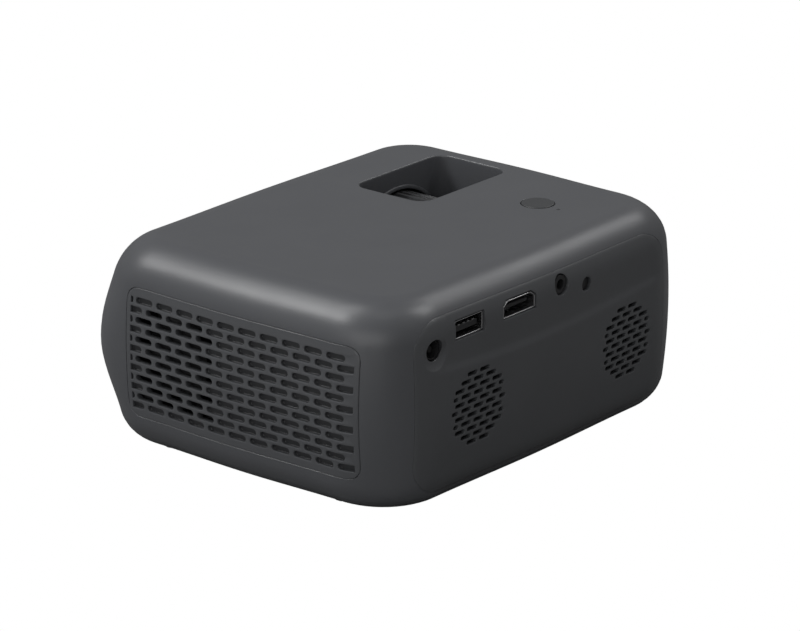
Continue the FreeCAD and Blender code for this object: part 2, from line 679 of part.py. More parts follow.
def lens(label, radius, y, bulgeFront, bulgeRear, edge):
    """A round glass element: two ball caps and a cylindrical edge, on the lens axis."""
    body = newBody(label)
    sketch = newSketch(body, "XZ_Plane")
    steps = 8
    points = []
    for step in range(steps):
        share = step / steps
        points.append((radius * share, -bulgeFront * (1 - share ** 2)))
    points += [(radius, 0), (radius, edge)]
    for step in range(steps - 1, -1, -1):
        share = step / steps
        points.append((radius * share, edge + bulgeRear * (1 - share ** 2)))
    polygon(sketch, points)
    feature = body.newObject("PartDesign::Revolution", "Turned")
    feature.Profile = sketch
    feature.ReferenceAxis = (sketch, ["V_Axis"])
    feature.Angle = 360
    body.Placement = Placement(Vector(), turns["Y"])
    moveTo(body, (lensX, y, lensZ))
    return node(label, body)


lens("front_lens", tubeInner - 0.02, barrelFront + 2.6, 2.2, 0, 2.4)
lens("middle_lens", tubeInner - 2.42, barrelFront + middleSeat + 0.5, 1.6, 1.2, 3.0)
lens("rear_lens", tubeInner - 2.42, barrelFront + rearSeat + 0.1, 0, 2.0, 2.6)

# ---------------------------------------------------------------- light engine
mirrorX = lensX
ductWall = size("duct_wall")
ductLeft, ductRight = mirrorX - size("duct_half") - 0.6, rightX - 51.2
ductFrontY, ductRearY = lightAxisY - size("duct_half"), lightAxisY + size("duct_half")
ductOuter = box((ductLeft - ductWall, ductFrontY - ductWall, ductLow - ductWall),
                (ductRight, ductRearY + ductWall, ductHigh))
ductInner = box((ductLeft, ductFrontY, ductLow), (ductRight + 1, ductRearY, ductHigh + 5))
lensWindow = cylinder((lensX, ductFrontY - ductWall - 1, lensZ), "Y", tubeInner, ductWall + 2)
mirrorSheet, mirrorBacking = 1.6, 2.2
mirrorReach = mirrorX - ductLeft + size("duct_half")
wallReach = mirrorReach - mirrorSheet - moveGap - mirrorBacking


def cornerStrip(name, nearReach, farReach, edge, low, high):
    """A strip across the duct's far corner, at 45 degrees, between two distances along the walls."""
    body = newBody(name)
    sketch = newSketch(body, "XY_Plane", low)
    polygon(sketch, [(ductLeft + edge, ductRearY - nearReach + edge),
                     (ductLeft + nearReach - edge, ductRearY - edge),
                     (ductLeft + farReach - edge, ductRearY - edge),
                     (ductLeft + edge, ductRearY - farReach + edge)])
    pad(body, sketch, high - low)
    return body


def cornerBlock(name, low, high):
    """What is left out of the duct behind the mirror."""
    body = newBody(name)
    sketch = newSketch(body, "XY_Plane", low)
    out = ductWall + 1
    polygon(sketch, [(ductLeft - out, ductRearY - wallReach - out),
                     (ductLeft + wallReach + out, ductRearY + out), (ductLeft - out, ductRearY + out)])
    pad(body, sketch, high - low)
    return body


legSpots = [(ductLeft + 6, ductFrontY + 4), (ductRight - 6, ductFrontY + 4), (ductRight - 6, ductRearY - 6),
            (mirrorX + 20, ductRearY - 6)]
ductLegs = [box((x - 3, y - 3, driveTop + moveGap), (x + 3, y + 3, ductLow - ductWall)) for x, y in legSpots]
mirrorWall = cornerStrip("MirrorWall", wallReach, wallReach + mirrorBacking, 0, ductLow, ductHigh)
node("optical_housing", cut(fuse(cut(ductOuter, ductInner, lensWindow), mirrorWall, *ductLegs),
                            cornerBlock("DuctCorner", ductLow - ductWall - 1, ductHigh + 1)))
lidBlock = box((ductLeft - ductWall, ductFrontY - ductWall, ductHigh),
               (ductRight, ductRearY + ductWall, ductHigh + ductWall))
node("optical_lid", cut(lidBlock, cornerBlock("LidCorner", ductHigh - 1, ductHigh + ductWall + 1)))
node("fold_mirror", cornerStrip("FoldMirror", mirrorReach - mirrorSheet, mirrorReach, 1.0,
                                ductLow + 0.5, ductHigh - 0.5))

plateGap = 0.15
lcdX = mirrorX + size("lcd_from_mirror")


def ductPlate(label, x, thick, inset=0.0):
    """A flat pane across the light duct."""
    gap = plateGap + inset
    return node(label, box((x, ductFrontY + gap, ductLow + gap),
                           (x + thick, ductRearY - gap, ductHigh - gap)))


ductPlate("field_lens", lcdX - 5.0, 1.6)
ductPlate("lcd_panel", lcdX, 1.8)
ductPlate("condenser_lens", lcdX + 7.0, 1.6)

ledX = ductRight
funnelMouth, funnelThroat = 14.0, 5.0
funnelStart = ledX - 16.0
funnel = cut(fuse(cone((funnelStart, lightAxisY, lensZ), "X", funnelMouth + 1.2, funnelThroat + 1.2, 15.6),
                  cylinder((funnelStart, lightAxisY, lensZ), "X", size("duct_high") - plateGap, 1.5)),
             cone((funnelStart - 0.01, lightAxisY, lensZ), "X", funnelMouth, funnelThroat, 15.7))
node("led_reflector", funnel)
collimator = newBody("CollimatorLens")
collimatorSketch = newSketch(collimator, "XZ_Plane")
polygon(collimatorSketch, [(0, 0), (size("duct_high") - plateGap, 0), (size("duct_high") - plateGap, 1.6),
                           (12.5, 4.6), (7.5, 6.6), (0, 7.4)])
collimatorTurn = collimator.newObject("PartDesign::Revolution", "Turned")
collimatorTurn.Profile = collimatorSketch
collimatorTurn.ReferenceAxis = (collimatorSketch, ["V_Axis"])
collimatorTurn.Angle = 360
collimator.Placement = Placement(Vector(), Rotation(Vector(0, 1, 0), -90))
moveTo(collimator, (funnelStart - 0.3, lightAxisY, lensZ))
node("collimator_lens", collimator)

ledBoard = box((ledX, lightAxisY - 13, lensZ - 13), (ledX + 1.6, lightAxisY + 13, lensZ + 13))
ledChip = box((ledX - 1.0, lightAxisY - 3.2, lensZ - 3.2), (ledX, lightAxisY + 3.2, lensZ + 3.2))
node("led_module", fuse(ledBoard, ledChip))

fanRear = rightX - size("fan_from_side")
fanFront = fanRear - size("fan_depth")
fanY, fanZ = ventFront + size("fan_from_vent"), ventLow + size("fan_drop")
sinkStart = ledX + 1.6
sinkEnd = fanFront - moveGap
sinkFront, sinkRear = fanY - size("fan_size") / 2 + 1, lightAxisY + 19.0
sinkLow, sinkHigh = driveTop + moveGap, boardZ - 2.4
sink = newBody("HeatSink")
sinkSketch = newSketch(sink, "XZ_Plane", -sinkRear)
finPitch, finSheet = float(size("fin_pitch")), float(size("fin_sheet"))
finCount = int((float(sinkHigh) - float(sinkLow) - finSheet) / finPitch) + 1
baseX = sinkStart + 3.4
outline = [(sinkStart, sinkLow)]
for fin in range(finCount):
    low = sinkLow + fin * size("fin_pitch")
    high = low + size("fin_sheet")
    if fin:
        outline.append((baseX, low))
    outline += [(sinkEnd, low), (sinkEnd, high)]
    if fin < finCount - 1:
        outline.append((baseX, high))
outline.append((sinkStart, sinkLow + (finCount - 1) * size("fin_pitch") + size("fin_sheet")))
polygon(sinkSketch, outline)
pad(sink, sinkSketch, sinkRear - sinkFront)
node("heat_sink", sink)

# ---------------------------------------------------------------- fan
fanHalf = size("fan_size") / 2
fanFrame = newBody("FanFrame")
frameSketch = newSketch(fanFrame, "YZ_Plane", fanFront)
rectangle(frameSketch, fanY - fanHalf, fanZ - fanHalf, fanY + fanHalf, fanZ + fanHalf)
circle(frameSketch, fanY, fanZ, fanHalf - 1.4)
for a in (-1, 1):
    for b in (-1, 1):
        circle(frameSketch, fanY + a * (fanHalf - 3.4), fanZ + b * (fanHalf - 3.4), 1.6)
pad(fanFrame, frameSketch, size("fan_depth"))
doc.recompute()
hubSketch = newSketch(fanFrame, "YZ_Plane", fanRear - 1.6)
circle(hubSketch, fanY, fanZ, 11.0)
pad(fanFrame, hubSketch, 1.6)
strutSketch = newSketch(fanFrame, "YZ_Plane", fanRear - 1.4)
rectangle(strutSketch, fanY - fanHalf + 0.8, fanZ - 1.0, fanY + fanHalf - 0.8, fanZ + 1.0)
pad(fanFrame, strutSketch, 1.4)
strutSketch = newSketch(fanFrame, "YZ_Plane", fanRear - 1.4)
rectangle(strutSketch, fanY - 1.0, fanZ - fanHalf + 0.8, fanY + 1.0, fanZ + fanHalf - 0.8)
pad(fanFrame, strutSketch, 1.4)
shaftHole = newSketch(fanFrame, "YZ_Plane", fanRear + 1)
circle(shaftHole, fanY, fanZ, 1.0 + runGap)
pocket(fanFrame, shaftHole, size("fan_depth") + 2)
node("fan_frame", fanFrame)

rotorLength = size("fan_depth") - 1.6 - moveGap - 0.6
rotor = newBody("FanRotor")
rotorSketch = newSketch(rotor, "XY_Plane")
circle(rotorSketch, 0, 0, 10.5)
pad(rotor, rotorSketch, rotorLength)
shaftSketch = newSketch(rotor, "XY_Plane")
circle(shaftSketch, 0, 0, 1.0)
pad(rotor, shaftSketch, rotorLength + moveGap + 1.6)
doc.recompute()
bladeRoot = newSketch(rotor, "XY_Plane", 0.6)
bladeReach = fanHalf - 1.4 - 0.8
polygon(bladeRoot, [(9.6, -4.2), (bladeReach - 1.2, -6.4), (bladeReach - 0.6, -5.2), (9.6, -2.8)])
bladeTip = newSketch(rotor, "XY_Plane", rotorLength - 0.6)
polygon(bladeTip, [(9.6, 2.8), (bladeReach - 0.6, 5.2), (bladeReach - 1.2, 6.4), (9.6, 4.2)])
blade = rotor.newObject("PartDesign::AdditiveLoft", "Blade")
blade.Profile = bladeRoot
blade.Sections = [bladeTip]
blade.Ruled = True
addPattern(rotor, blade, 7)
rotor.Placement = Placement(Vector(), turns["X"])
moveTo(rotor, (fanFront + 0.6, fanY, fanZ))
node("fan_rotor", rotor)

# ---------------------------------------------------------------- loudspeakers
speakerFace = rearY - wall - 1.6
speakerRadius = size("speaker_radius")


def speakerPieces(x, name):
    """Frame, cone and magnet of one driver; outlines run inwards from its face."""
    place = (x, speakerFace, speakerZ)
    inward = Rotation(Vector(1, 0, 0), 90)
    outlines = {
        "Frame": [(speakerRadius - 2.2, 0), (speakerRadius, 0), (speakerRadius, 1.6),
                  (speakerRadius - 2.6, 4.2), (8.0, 8.2), (6.0, 8.2), (6.0, 7.0),
                  (speakerRadius - 3.4, 3.6), (speakerRadius - 2.2, 1.4)],
        "Cone": [(0, 2.2), (3.2, 3.2), (4.6, 4.4), (speakerRadius - 4.6, 1.0), (speakerRadius - 3.6, 0.4),
                 (speakerRadius - 2.35, 0.8), (speakerRadius - 2.35, 1.2), (speakerRadius - 3.6, 0.9),
                 (speakerRadius - 4.6, 1.6), (4.6, 5.2), (4.6, 6.6), (0, 6.6)],
        "Magnet": [(0, 8.2), (9.0, 8.2), (9.0, 12.0), (0, 12.0)],
    }
    pieces = []
    for piece, points in outlines.items():
        body = turned(f"{name}{piece}", points, place, "Z")
        body.Placement = Placement(Vector(), inward)
        moveTo(body, place)
        pieces.append(body)
    return pieces


rightDriver, leftDriver = speakerPieces(rightSpeakerX, "Right"), speakerPieces(leftSpeakerX, "Left")
speakerLabels = ("speaker_frames", "speaker_cones", "speaker_magnets")
for label, right, left in zip(speakerLabels, rightDriver, leftDriver):
    node(label, group(right, left))

# ---------------------------------------------------------------- main board and sockets
boardSheet = size("board_sheet")
boardBack, boardLow = rearY - 5.2, boardZ - boardSheet
boardLeft, boardRight = eyeX - 5.4, dcX - 4.9
board = newBody("MainBoard")
boardSketch = newSketch(board, "XY_Plane", boardLow)
stripFront = ductRearY + ductWall + 1.0
wingLeft, wingFront = ductRight + 1.5, rearY - 55.0
polygon(boardSketch, [(boardLeft, stripFront), (wingLeft, stripFront), (wingLeft, wingFront),
                      (boardRight, wingFront), (boardRight, boardBack), (boardLeft, boardBack)])
pad(board, boardSketch, boardSheet)
node("main_board", board)
chips = [(wingLeft + 5, wingFront + 12, 12, 12, 1.4), (wingLeft + 4, wingFront + 28, 8, 10, 1.1),
         (wingLeft + 15, wingFront + 29, 6, 6, 2.6), (boardLeft + 8, stripFront + 1.6, 7, 5, 1.2)]
node("board_chips", group(*[box((x, y, boardZ), (x + w, y + d, boardZ + h)) for x, y, w, d, h in chips]))

socketFace = rearY - 1.4
shellGap, shellSheet = size("shell_gap"), size("shell_sheet")
socketDepth = size("socket_depth")
usbOuterW, usbOuterH = size("usb_wide") - 2 * shellGap, size("usb_high") - 2 * shellGap
usbOuter = socketPrism("UsbOuter", usbX, usbZ, usbOuterW, usbOuterH, 0, socketFace - socketDepth, socketDepth)
usbInner = socketPrism("UsbInner", usbX, usbZ, usbOuterW - 2 * shellSheet, usbOuterH - 2 * shellSheet, 0,
                       socketFace - socketDepth + 1.0, socketDepth)
node("usb_shell", cut(usbOuter, usbInner))
usbBack = socketFace - socketDepth + 1.0
usbTongue = box((usbX - usbOuterW / 2 + 1.4, usbBack, usbZ - 0.9),
                (usbX + usbOuterW / 2 - 1.4, socketFace - 1.2, usbZ + 1.0))
usbContacts = [box((usbX + place - 0.5, usbBack, usbZ + 1.0),
                   (usbX + place + 0.5, socketFace - 2.0, usbZ + 1.3))
               for place in (-3.5, -1.15, 1.15, 3.5)]
node("usb_tongue", fuse(usbTongue, *usbContacts))

hdmiOuterW, hdmiOuterH = size("hdmi_wide") - 2 * shellGap, size("hdmi_high") - 2 * shellGap
hdmiFace = socketFace + 0.3
hdmiOuter = socketPrism("HdmiOuter", hdmiX, hdmiZ, hdmiOuterW, hdmiOuterH, hdmiChamfer,
                        hdmiFace - socketDepth, socketDepth)
hdmiInner = socketPrism("HdmiInner", hdmiX, hdmiZ, hdmiOuterW - 2 * shellSheet, hdmiOuterH - 2 * shellSheet,
                        hdmiChamfer - 0.15, hdmiFace - socketDepth + 1.0, socketDepth)
node("hdmi_shell", cut(hdmiOuter, hdmiInner))
node("hdmi_tongue", box((hdmiX - 5.6, hdmiFace - socketDepth + 1.0, hdmiZ - 0.4),
                        (hdmiX + 5.6, hdmiFace - 1.6, hdmiZ + 0.8)))

dcFace, dcMouth = rearY - 6.2, dcSeatY - 0.6
dcBlock = box((dcX - 4.6, dcFace - 10.0, dcZ - 4.6), (dcX + 4.6, dcFace, dcZ + 4.6))
dcCollar = cylinder((dcX, dcFace, dcZ), "Y", size("dc_hole") - 0.2, dcMouth - dcFace)
dcBore, dcDeep = 2.85, 7.5
node("dc_jack", cut(fuse(dcBlock, dcCollar), cylinder((dcX, dcFace - dcDeep, dcZ), "Y", dcBore, dcDeep + 9)))
node("dc_pin", cylinder((dcX, dcFace - dcDeep, dcZ), "Y", 1.0, dcMouth - dcFace + dcDeep - 1.0))
phoneBore = 1.8
phoneFace = rearY - wall - 2.8
phoneBlock = box((phoneX - 3.0, phoneFace - 11.0, boardZ), (phoneX + 3.0, phoneFace, phoneZ + 3.0))
phoneCollar = cylinder((phoneX, phoneFace, phoneZ), "Y", size("phone_hole") - 0.3, 3.4)
node("headphone_jack", cut(fuse(phoneBlock, phoneCollar),
                           cylinder((phoneX, phoneFace - 10.0, phoneZ), "Y", phoneBore, 14)))
eyeFace = rearY - wall - 0.7
eyeBlock = box((eyeX - 2.6, eyeFace - 3.4, boardZ), (eyeX + 2.6, eyeFace - 0.6, eyeZ + 2.6))
node("ir_receiver", fuse(eyeBlock, cylinder((eyeX, eyeFace - 0.6, eyeZ), "Y", 2.0, 1.4)))

keyLow = ductHigh + ductWall
keyBoard = box((buttonX - 7, buttonY - 6, keyLow), (buttonX + 7, lightY + 3, keyLow + 1.0))
keyLamp = box((lensX - 1.0, lightY - 0.8, keyLow + 1.0), (lensX + 1.0, lightY + 0.8, topZ - 9.3))
node("key_board", fuse(keyBoard, keyLamp))
switchTop = buttonRest - 7.0 - size("button_travel") - 0.2
node("tact_switch", fuse(box((buttonX - 3, buttonY - 3, keyLow + 1.0),
                             (buttonX + 3, buttonY + 3, switchTop - 1.2)),
                         cylinder((buttonX, buttonY, switchTop - 1.2), "Z", 1.7, 1.2)))

# ---------------------------------------------------------------- disc drive: fixed pieces
sheetSteel = size("drive_sheet")
chassis = newBody("DriveChassis")
chassisSketch = newSketch(chassis, "XZ_Plane", -panRear)
panTop = driveTop - sheetSteel
polygon(chassisSketch, [(-panEdge, driveZ), (panEdge, driveZ), (panEdge, panTop), (driveHalf, panTop),
                        (driveHalf, driveZ + sheetSteel), (-driveHalf, driveZ + sheetSteel),
                        (-driveHalf, panTop), (-panEdge, panTop)])
pad(chassis, chassisSketch, panRear - panFront)
stopWall = box((-driveHalf, panRear - sheetSteel, driveZ), (driveHalf, panRear, driveZ + 4.2))
node("drive_chassis", fuse(chassis, stopWall))

coverFront, coverRear = frontY + 4.2, rearY - 7.0
cover = newBody("DriveCover")
coverSketch = newSketch(cover, "XY_Plane", panTop)
coverTaper = 14.0
polygon(coverSketch, [(-panEdge + 3, coverFront), (panEdge - 3, coverFront), (panEdge, panFront + 6),
                      (panEdge, coverRear - coverTaper), (panEdge - coverTaper, coverRear),
                      (-panEdge + coverTaper, coverRear), (-panEdge, coverRear - coverTaper),
                      (-panEdge, panFront + 6)])
pad(cover, coverSketch, sheetSteel)
node("drive_cover", cover)

railLow = trayLow + 0.5
railFront, railRear = panFront + 1.5, panRear - 1.5
rails = []
for side in (-1, 1):
    inner, outer = side * (trayHalf + moveGap), side * railHalf
    low, high = (inner, outer) if side > 0 else (outer, inner)
    rails.append(box((low, railFront, railLow), (high, railRear, railLow + size("rail_height"))))
node("tray_rails", group(*rails))

# ---------------------------------------------------------------- disc drive: tray
plateLow = driveZ + 4.3
plateTop = plateLow + size("tray_plate")
trayTop = plateTop + size("tray_lip")
trayFront, trayRear = frontY + 7.2, panRear - 1.5
skirt = 1.6
windowRadiusTray = size("motor_radius") + 3.0
trayBlock = common(box((-trayHalf, trayFront, trayLow), (trayHalf, trayRear, trayTop)), inside)
trayUnder = box((-trayHalf + skirt, trayFront + skirt, trayLow - 1),
                (trayHalf - skirt, trayRear - skirt, plateLow))
discRecess = cylinder((0, discY, plateTop), "Z", size("disc_radius") + size("disc_play"), 6)
trayWindow = newBody("TrayWindow")
windowSketch = newSketch(trayWindow, "XY_Plane", -5)
windowHalf, windowEnd = size("rod_spread") + 2.4, size("disc_radius") + 2.2
rectangle(windowSketch, 0, -windowHalf, windowEnd, windowHalf)
pad(trayWindow, windowSketch, size("tray_plate") + 5)
slant = Rotation(Vector(0, 0, 1), float(size("pickup_angle")))
trayWindow.Placement = Placement(Vector(), slant)
moveTo(trayWindow, (0, discY, plateLow))
motorWindow = cylinder((0, discY, plateLow - 1), "Z", windowRadiusTray, 6)
fingerNotch = [cylinder((side * (trayHalf + 1.0), discY - 18, plateTop), "Z", 9.0, 6) for side in (-1, 1)]
trayLip = box((-57, frontY + 4.4, plateLow + 0.4), (57, trayFront, trayTop))
trayTab = box((-30, frontY + 3.3, plateTop), (30, trayFront, trayTop - 0.4))
ejectX, ejectZ = size("eject_x"), bezelLow + 5.4
ejectWide, ejectHigh = 7.0, 2.6
ejectRoom = box((ejectX - ejectWide / 2 - 1.4, frontY + 3, plateTop - 0.2),
                (ejectX + ejectWide / 2 + 1.4, frontY + 5.4, trayTop + 1))
node("disc_tray", cut(fuse(trayBlock, trayLip, trayTab), trayUnder, discRecess, trayWindow, motorWindow,
                      ejectRoom, *fingerNotch))

bezelSkin = cut(outside, thinInside)
bezelRegion = box((-driveHalf + 0.2, farFront, bezelLow), (driveHalf - 0.2, frontY + 9, bezelHigh))
ejectHole = box((ejectX - ejectWide / 2 - 0.2, farFront, ejectZ - ejectHigh / 2 - 0.2),
                (ejectX + ejectWide / 2 + 0.2, frontY + 9, ejectZ + ejectHigh / 2 + 0.2))
node("tray_bezel", cut(common(bezelSkin, bezelRegion), ejectHole))
ejectFace = frontY + 1.2
ejectStem = roundedBox((ejectX - ejectWide / 2, ejectFace, ejectZ - ejectHigh / 2),
                       (ejectX + ejectWide / 2, frontY + 3.9, ejectZ + ejectHigh / 2), 0.8, "Y")
ejectFlange = box((ejectX - ejectWide / 2 - 0.8, frontY + 3.5, ejectZ - ejectHigh / 2 - 0.3),
                  (ejectX + ejectWide / 2 + 0.8, frontY + 4.3, ejectZ + ejectHigh / 2 + 0.3))
node("eject_button", fuse(ejectStem, ejectFlange))

# ---------------------------------------------------------------- disc drive: mechanism on the tray
baseTop = trayLow + 0.6
mechanism = newBody("TrayBase")
mechanismSketch = newSketch(mechanism, "XY_Plane")
spread, screwSpread = size("rod_spread"), size("screw_spread")
reach = size("disc_radius") + 2.4
polygon(mechanismSketch, [(-20, -16), (8, -20), (reach - 10, -spread - 6), (reach, -spread),
                          (reach, spread - 1),
                          (reach - 8, screwSpread + 3), (reach - 14, screwSpread + 6), (4, screwSpread + 6),
                          (-20, 16)])
pad(mechanism, mechanismSketch, baseTop - trayLow)
doc.recompute()
slotSketch = newSketch(mechanism, "XY_Plane", 2)
rectangle(slotSketch, size("motor_radius") + 4.0, -spread + 3.0, reach - 4.0, spread - 3.0)
pocket(mechanism, slotSketch, 4)
mechanism.Placement = Placement(Vector(), slant)
moveTo(mechanism, (0, discY, trayLow))
turnedCorner = float(size("pickup_angle")) * math.pi / 180
cosine, sine = math.cos(turnedCorner), math.sin(turnedCorner)


def onMechanism(along, across):
    """Plan place of a point given along and across the pickup's path."""
    return along * cosine - across * sine, discY + along * sine + across * cosine


columns = []
rodZ = baseTop + 1.15
rodStart, rodEnd = size("motor_radius") + 1.2, reach - 0.6
for along, across in ((-16, -12), (-16, 12), (reach - 12, -spread - 4.4), (reach - 17, screwSpread + 3.9)):
    x, y = onMechanism(along, across)
    columns.append(cylinder((x, y, trayLow), "Z", 1.6, plateLow - trayLow))
for along in (rodStart + 1, rodEnd - 1):
    for across in (-spread, spread):
        x, y = onMechanism(along, across)
        columns.append(cylinder((x, y, trayLow), "Z", 0.9, rodZ - size("rod_radius") - trayLow))
node("tray_base", fuse(mechanism, *columns))

motorTop = plateLow + 0.4
motor = turned("SpindleMotor", [(1.0 + runGap, 0.4), (size("motor_radius"), 0),
                                (size("motor_radius"), motorTop - baseTop),
                                (1.0 + runGap, motorTop - baseTop)],
               (0, discY, baseTop), "Z")
node("spindle_motor", motor)
tableLow = motorTop + 0.25
hubLow = baseTop + 0.7
tableTop = plateTop + 0.3
node("spindle_hub", turned("SpindleHub", [
    (0, 0), (1.0, 0), (1.0, tableLow - hubLow), (size("turntable_radius"), tableLow - hubLow),
    (size("turntable_radius"), tableTop - hubLow), (size("hub_radius"), tableTop - hubLow),
    (size("hub_radius"), tableTop - hubLow + 1.4), (size("hub_radius") - 1.6, tableTop - hubLow + 2.6),
    (0, tableTop - hubLow + 2.6)], (0, discY, hubLow), "Z"))


def alongPath(name, across, radius, start, end, z):
    """A round bar parallel to the pickup's path."""
    bar = doc.addObject("Part::Cylinder", name)
    bar.Placement = Placement(Vector(), slant.multiply(turns["X"]))
    bind(bar, "Radius", radius)
    bind(bar, "Height", end - start)
    x, y = onMechanism(start, across)
    moveTo(bar, (x, y, z))
    return bar


node("guide_rods", group(*[alongPath("GuideRod", side * spread, size("rod_radius"), rodStart, rodEnd, rodZ)
                           for side in (-1, 1)]))
feedLength = 9.0
screwStart = rodStart + feedLength
screwZ = rodZ - 0.1
node("lead_screw", alongPath("LeadScrew", screwSpread, size("screw_radius"), screwStart - 3.0,
                             rodEnd - 3.3, screwZ))
feedBody = newBody("FeedBody")
feedSketch = newSketch(feedBody, "XY_Plane")
rectangle(feedSketch, rodStart - 1, screwSpread - 2.1, screwStart - 1, screwSpread + 2.6)
pad(feedBody, feedSketch, plateLow - 0.1 - baseTop)
feedBody.Placement = Placement(Vector(), slant)
moveTo(feedBody, (0, discY, baseTop))
node("feed_motor", cut(feedBody, alongPath("FeedBore", screwSpread, size("screw_radius") + runGap,
                                           screwStart - 3.4, screwStart, screwZ)))

lensStart = 24.0
sledInner, sledOuter = lensStart - 7.5, lensStart + 2.8
sled = newBody("PickupSled")
sledSketch = newSketch(sled, "YZ_Plane", sledInner)
sledLow, sledHigh = -0.97, 1.35
sledSide, armEnd = spread + 1.8, screwSpread - size("screw_radius") - 0.2
rectangle(sledSketch, -sledSide, sledLow, sledSide, sledHigh)
for side in (-1, 1):
    circle(sledSketch, side * spread, 0, size("rod_radius") + runGap)
pad(sled, sledSketch, sledOuter - sledInner)
doc.recompute()
armSketch = newSketch(sled, "YZ_Plane", screwStart + 1.5)
rectangle(armSketch, sledSide - 0.3, -0.6, armEnd, 0.5)
pad(sled, armSketch, sledOuter - screwStart - 1.5)
sled.Placement = Placement(Vector(), slant)
moveTo(sled, (0, discY, rodZ))
node("pickup_sled", sled)
lensPlace = onMechanism(lensStart, 0)
node("pickup_lens", fuse(cylinder((*lensPlace, rodZ + sledHigh), "Z", 2.7, 0.35),
                         cylinder((*lensPlace, rodZ + sledHigh + 0.35), "Z", 1.9, 0.3)))

# ---------------------------------------------------------------- check and write
doc.recompute()
for thing in doc.Objects:
    if "Invalid" in thing.State or "Error" in thing.State:
        raise RuntimeError(f"{thing.Label} did not build: {thing.State}")
os.makedirs("parts", exist_ok=True)
for thing in nodes:
    shape = thing.Shape
    if shape.isNull() or not shape.isValid() or not shape.Solids:
        raise RuntimeError(f"{thing.Label} has no valid solid")
    shape.exportStep(f"parts/{thing.Label}.step")
    print(thing.Label, len(shape.Solids), round(shape.Volume, 1))
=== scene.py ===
import bpy
import bmesh
import math
import numpy as np
from mathutils import Matrix, Vector


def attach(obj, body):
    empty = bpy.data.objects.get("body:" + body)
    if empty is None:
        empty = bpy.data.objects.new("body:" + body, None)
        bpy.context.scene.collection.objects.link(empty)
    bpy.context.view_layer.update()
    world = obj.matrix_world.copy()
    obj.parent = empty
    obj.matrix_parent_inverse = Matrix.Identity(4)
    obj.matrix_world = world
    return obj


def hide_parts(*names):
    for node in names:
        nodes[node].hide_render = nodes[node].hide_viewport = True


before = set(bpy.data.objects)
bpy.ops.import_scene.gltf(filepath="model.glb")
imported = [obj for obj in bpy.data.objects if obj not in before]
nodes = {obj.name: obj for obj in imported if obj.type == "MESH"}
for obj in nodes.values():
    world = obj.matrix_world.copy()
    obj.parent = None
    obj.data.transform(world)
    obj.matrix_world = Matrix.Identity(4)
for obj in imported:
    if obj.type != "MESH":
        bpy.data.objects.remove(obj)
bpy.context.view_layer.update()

scene = bpy.context.scene
print("frame loaded:", len(nodes), "pieces")

# Lengths in the dictionaries are millimetres; every mesh is scaled to metres when it is made.
camera = {"place": (1.03395, 0.852755, 0.50887), "forward": (-0.72875, -0.59825, -0.33321),
          "roll": 0.158, "lens": 194.65, "shift": (0.00054, 0.00038)}


def makeCamera():
    # right = forward x up, then right and up turned by the roll about the line of sight
    forward = Vector(camera["forward"]).normalized()
    right = forward.cross(Vector((0, 0, 1))).normalized()
    up = right.cross(forward)
    turn = math.radians(camera["roll"])
    across = right * math.cos(turn) + up * math.sin(turn)
    upward = up * math.cos(turn) - right * math.sin(turn)
    data = bpy.data.cameras.new("productCamera")
    data.sensor_width = 36
    data.lens = camera["lens"]
    data.shift_x, data.shift_y = camera["shift"]
    data.clip_end = 20
    viewer = bpy.data.objects.new("productCamera", data)
    scene.collection.objects.link(viewer)
    turned = Matrix((across, upward, -forward)).transposed().to_4x4()
    viewer.matrix_world = Matrix.Translation(camera["place"]) @ turned
    scene.camera = viewer


makeCamera()
print("camera placed")

form = {"halfWidth": 81.2, "depth": 128.8, "height": 68.8, "underside": 1.0, "centreY": 3.175,
        "rearCorner": 24.8, "frontCorner": 20.7, "topRound": 12.3, "bottomRound": 10.1,
        "sideCrown": 1.0, "endCrown": 0.9, "sideBelly": 2.9, "endBelly": 1.3,
        "noseReach": 6.35, "noseHeight": 33.1, "noseRise": 33.7, "noseDrop": 27.9,
        "risePower": 2.4, "dropPower": 2.48,
        "wall": 2.2, "parting": 5.5, "lip": 0.09}
formTop = form["underside"] + form["height"]
roundStart = formTop - form["topRound"]


def formLevel(height, inset=0, extra=0):
    # half widths follow R - sqrt(R^2 - d^2) at the top and bottom rounds and fall with
    # (2h/H - 1)^2 in between; the nose stands out by reach * (1 - u^2)^power
    top, bottom, total = form["topRound"] - inset, form["bottomRound"] - inset, form["height"]
    below = np.clip(inset + bottom - height, 0, bottom)
    above = np.clip(height - total + inset + top, 0, top)
    cut = inset + extra + bottom - np.sqrt(bottom ** 2 - below ** 2) + top - np.sqrt(top ** 2 - above ** 2)
    tilt = (2 * height / total - 1) ** 2
    overNose = height > form["noseHeight"]
    span = np.where(overNose, form["noseRise"], form["noseDrop"])
    power = np.where(overNose, form["risePower"], form["dropPower"])
    nose = form["noseReach"] * np.clip(1 - ((height - form["noseHeight"]) / span) ** 2, 0, 1) ** power
    halfY = form["depth"] / 2 - cut - form["endBelly"] * tilt
    level = {"side": form["halfWidth"] - cut - form["sideBelly"] * tilt - form["sideCrown"],
             "rearEnd": form["centreY"] + halfY - form["endCrown"],
             "frontEnd": form["centreY"] - halfY - nose + form["endCrown"],
             "rearRound": np.maximum(form["rearCorner"] - cut, 1),
             "frontRound": np.maximum(form["frontCorner"] - cut, 1)}
    level["sideRear"] = level["rearEnd"] - level["rearRound"]
    level["sideFront"] = level["frontEnd"] + level["frontRound"]
    level["rearX"] = level["side"] - level["rearRound"]
    level["frontX"] = level["side"] - level["frontRound"]
    return level


def arcDrop(distance, radius):
    # R - sqrt(R^2 - d^2): how far a corner arc has fallen back at distance d past its start
    return radius - np.sqrt(np.maximum(radius ** 2 - np.clip(distance, 0, radius) ** 2, 0))


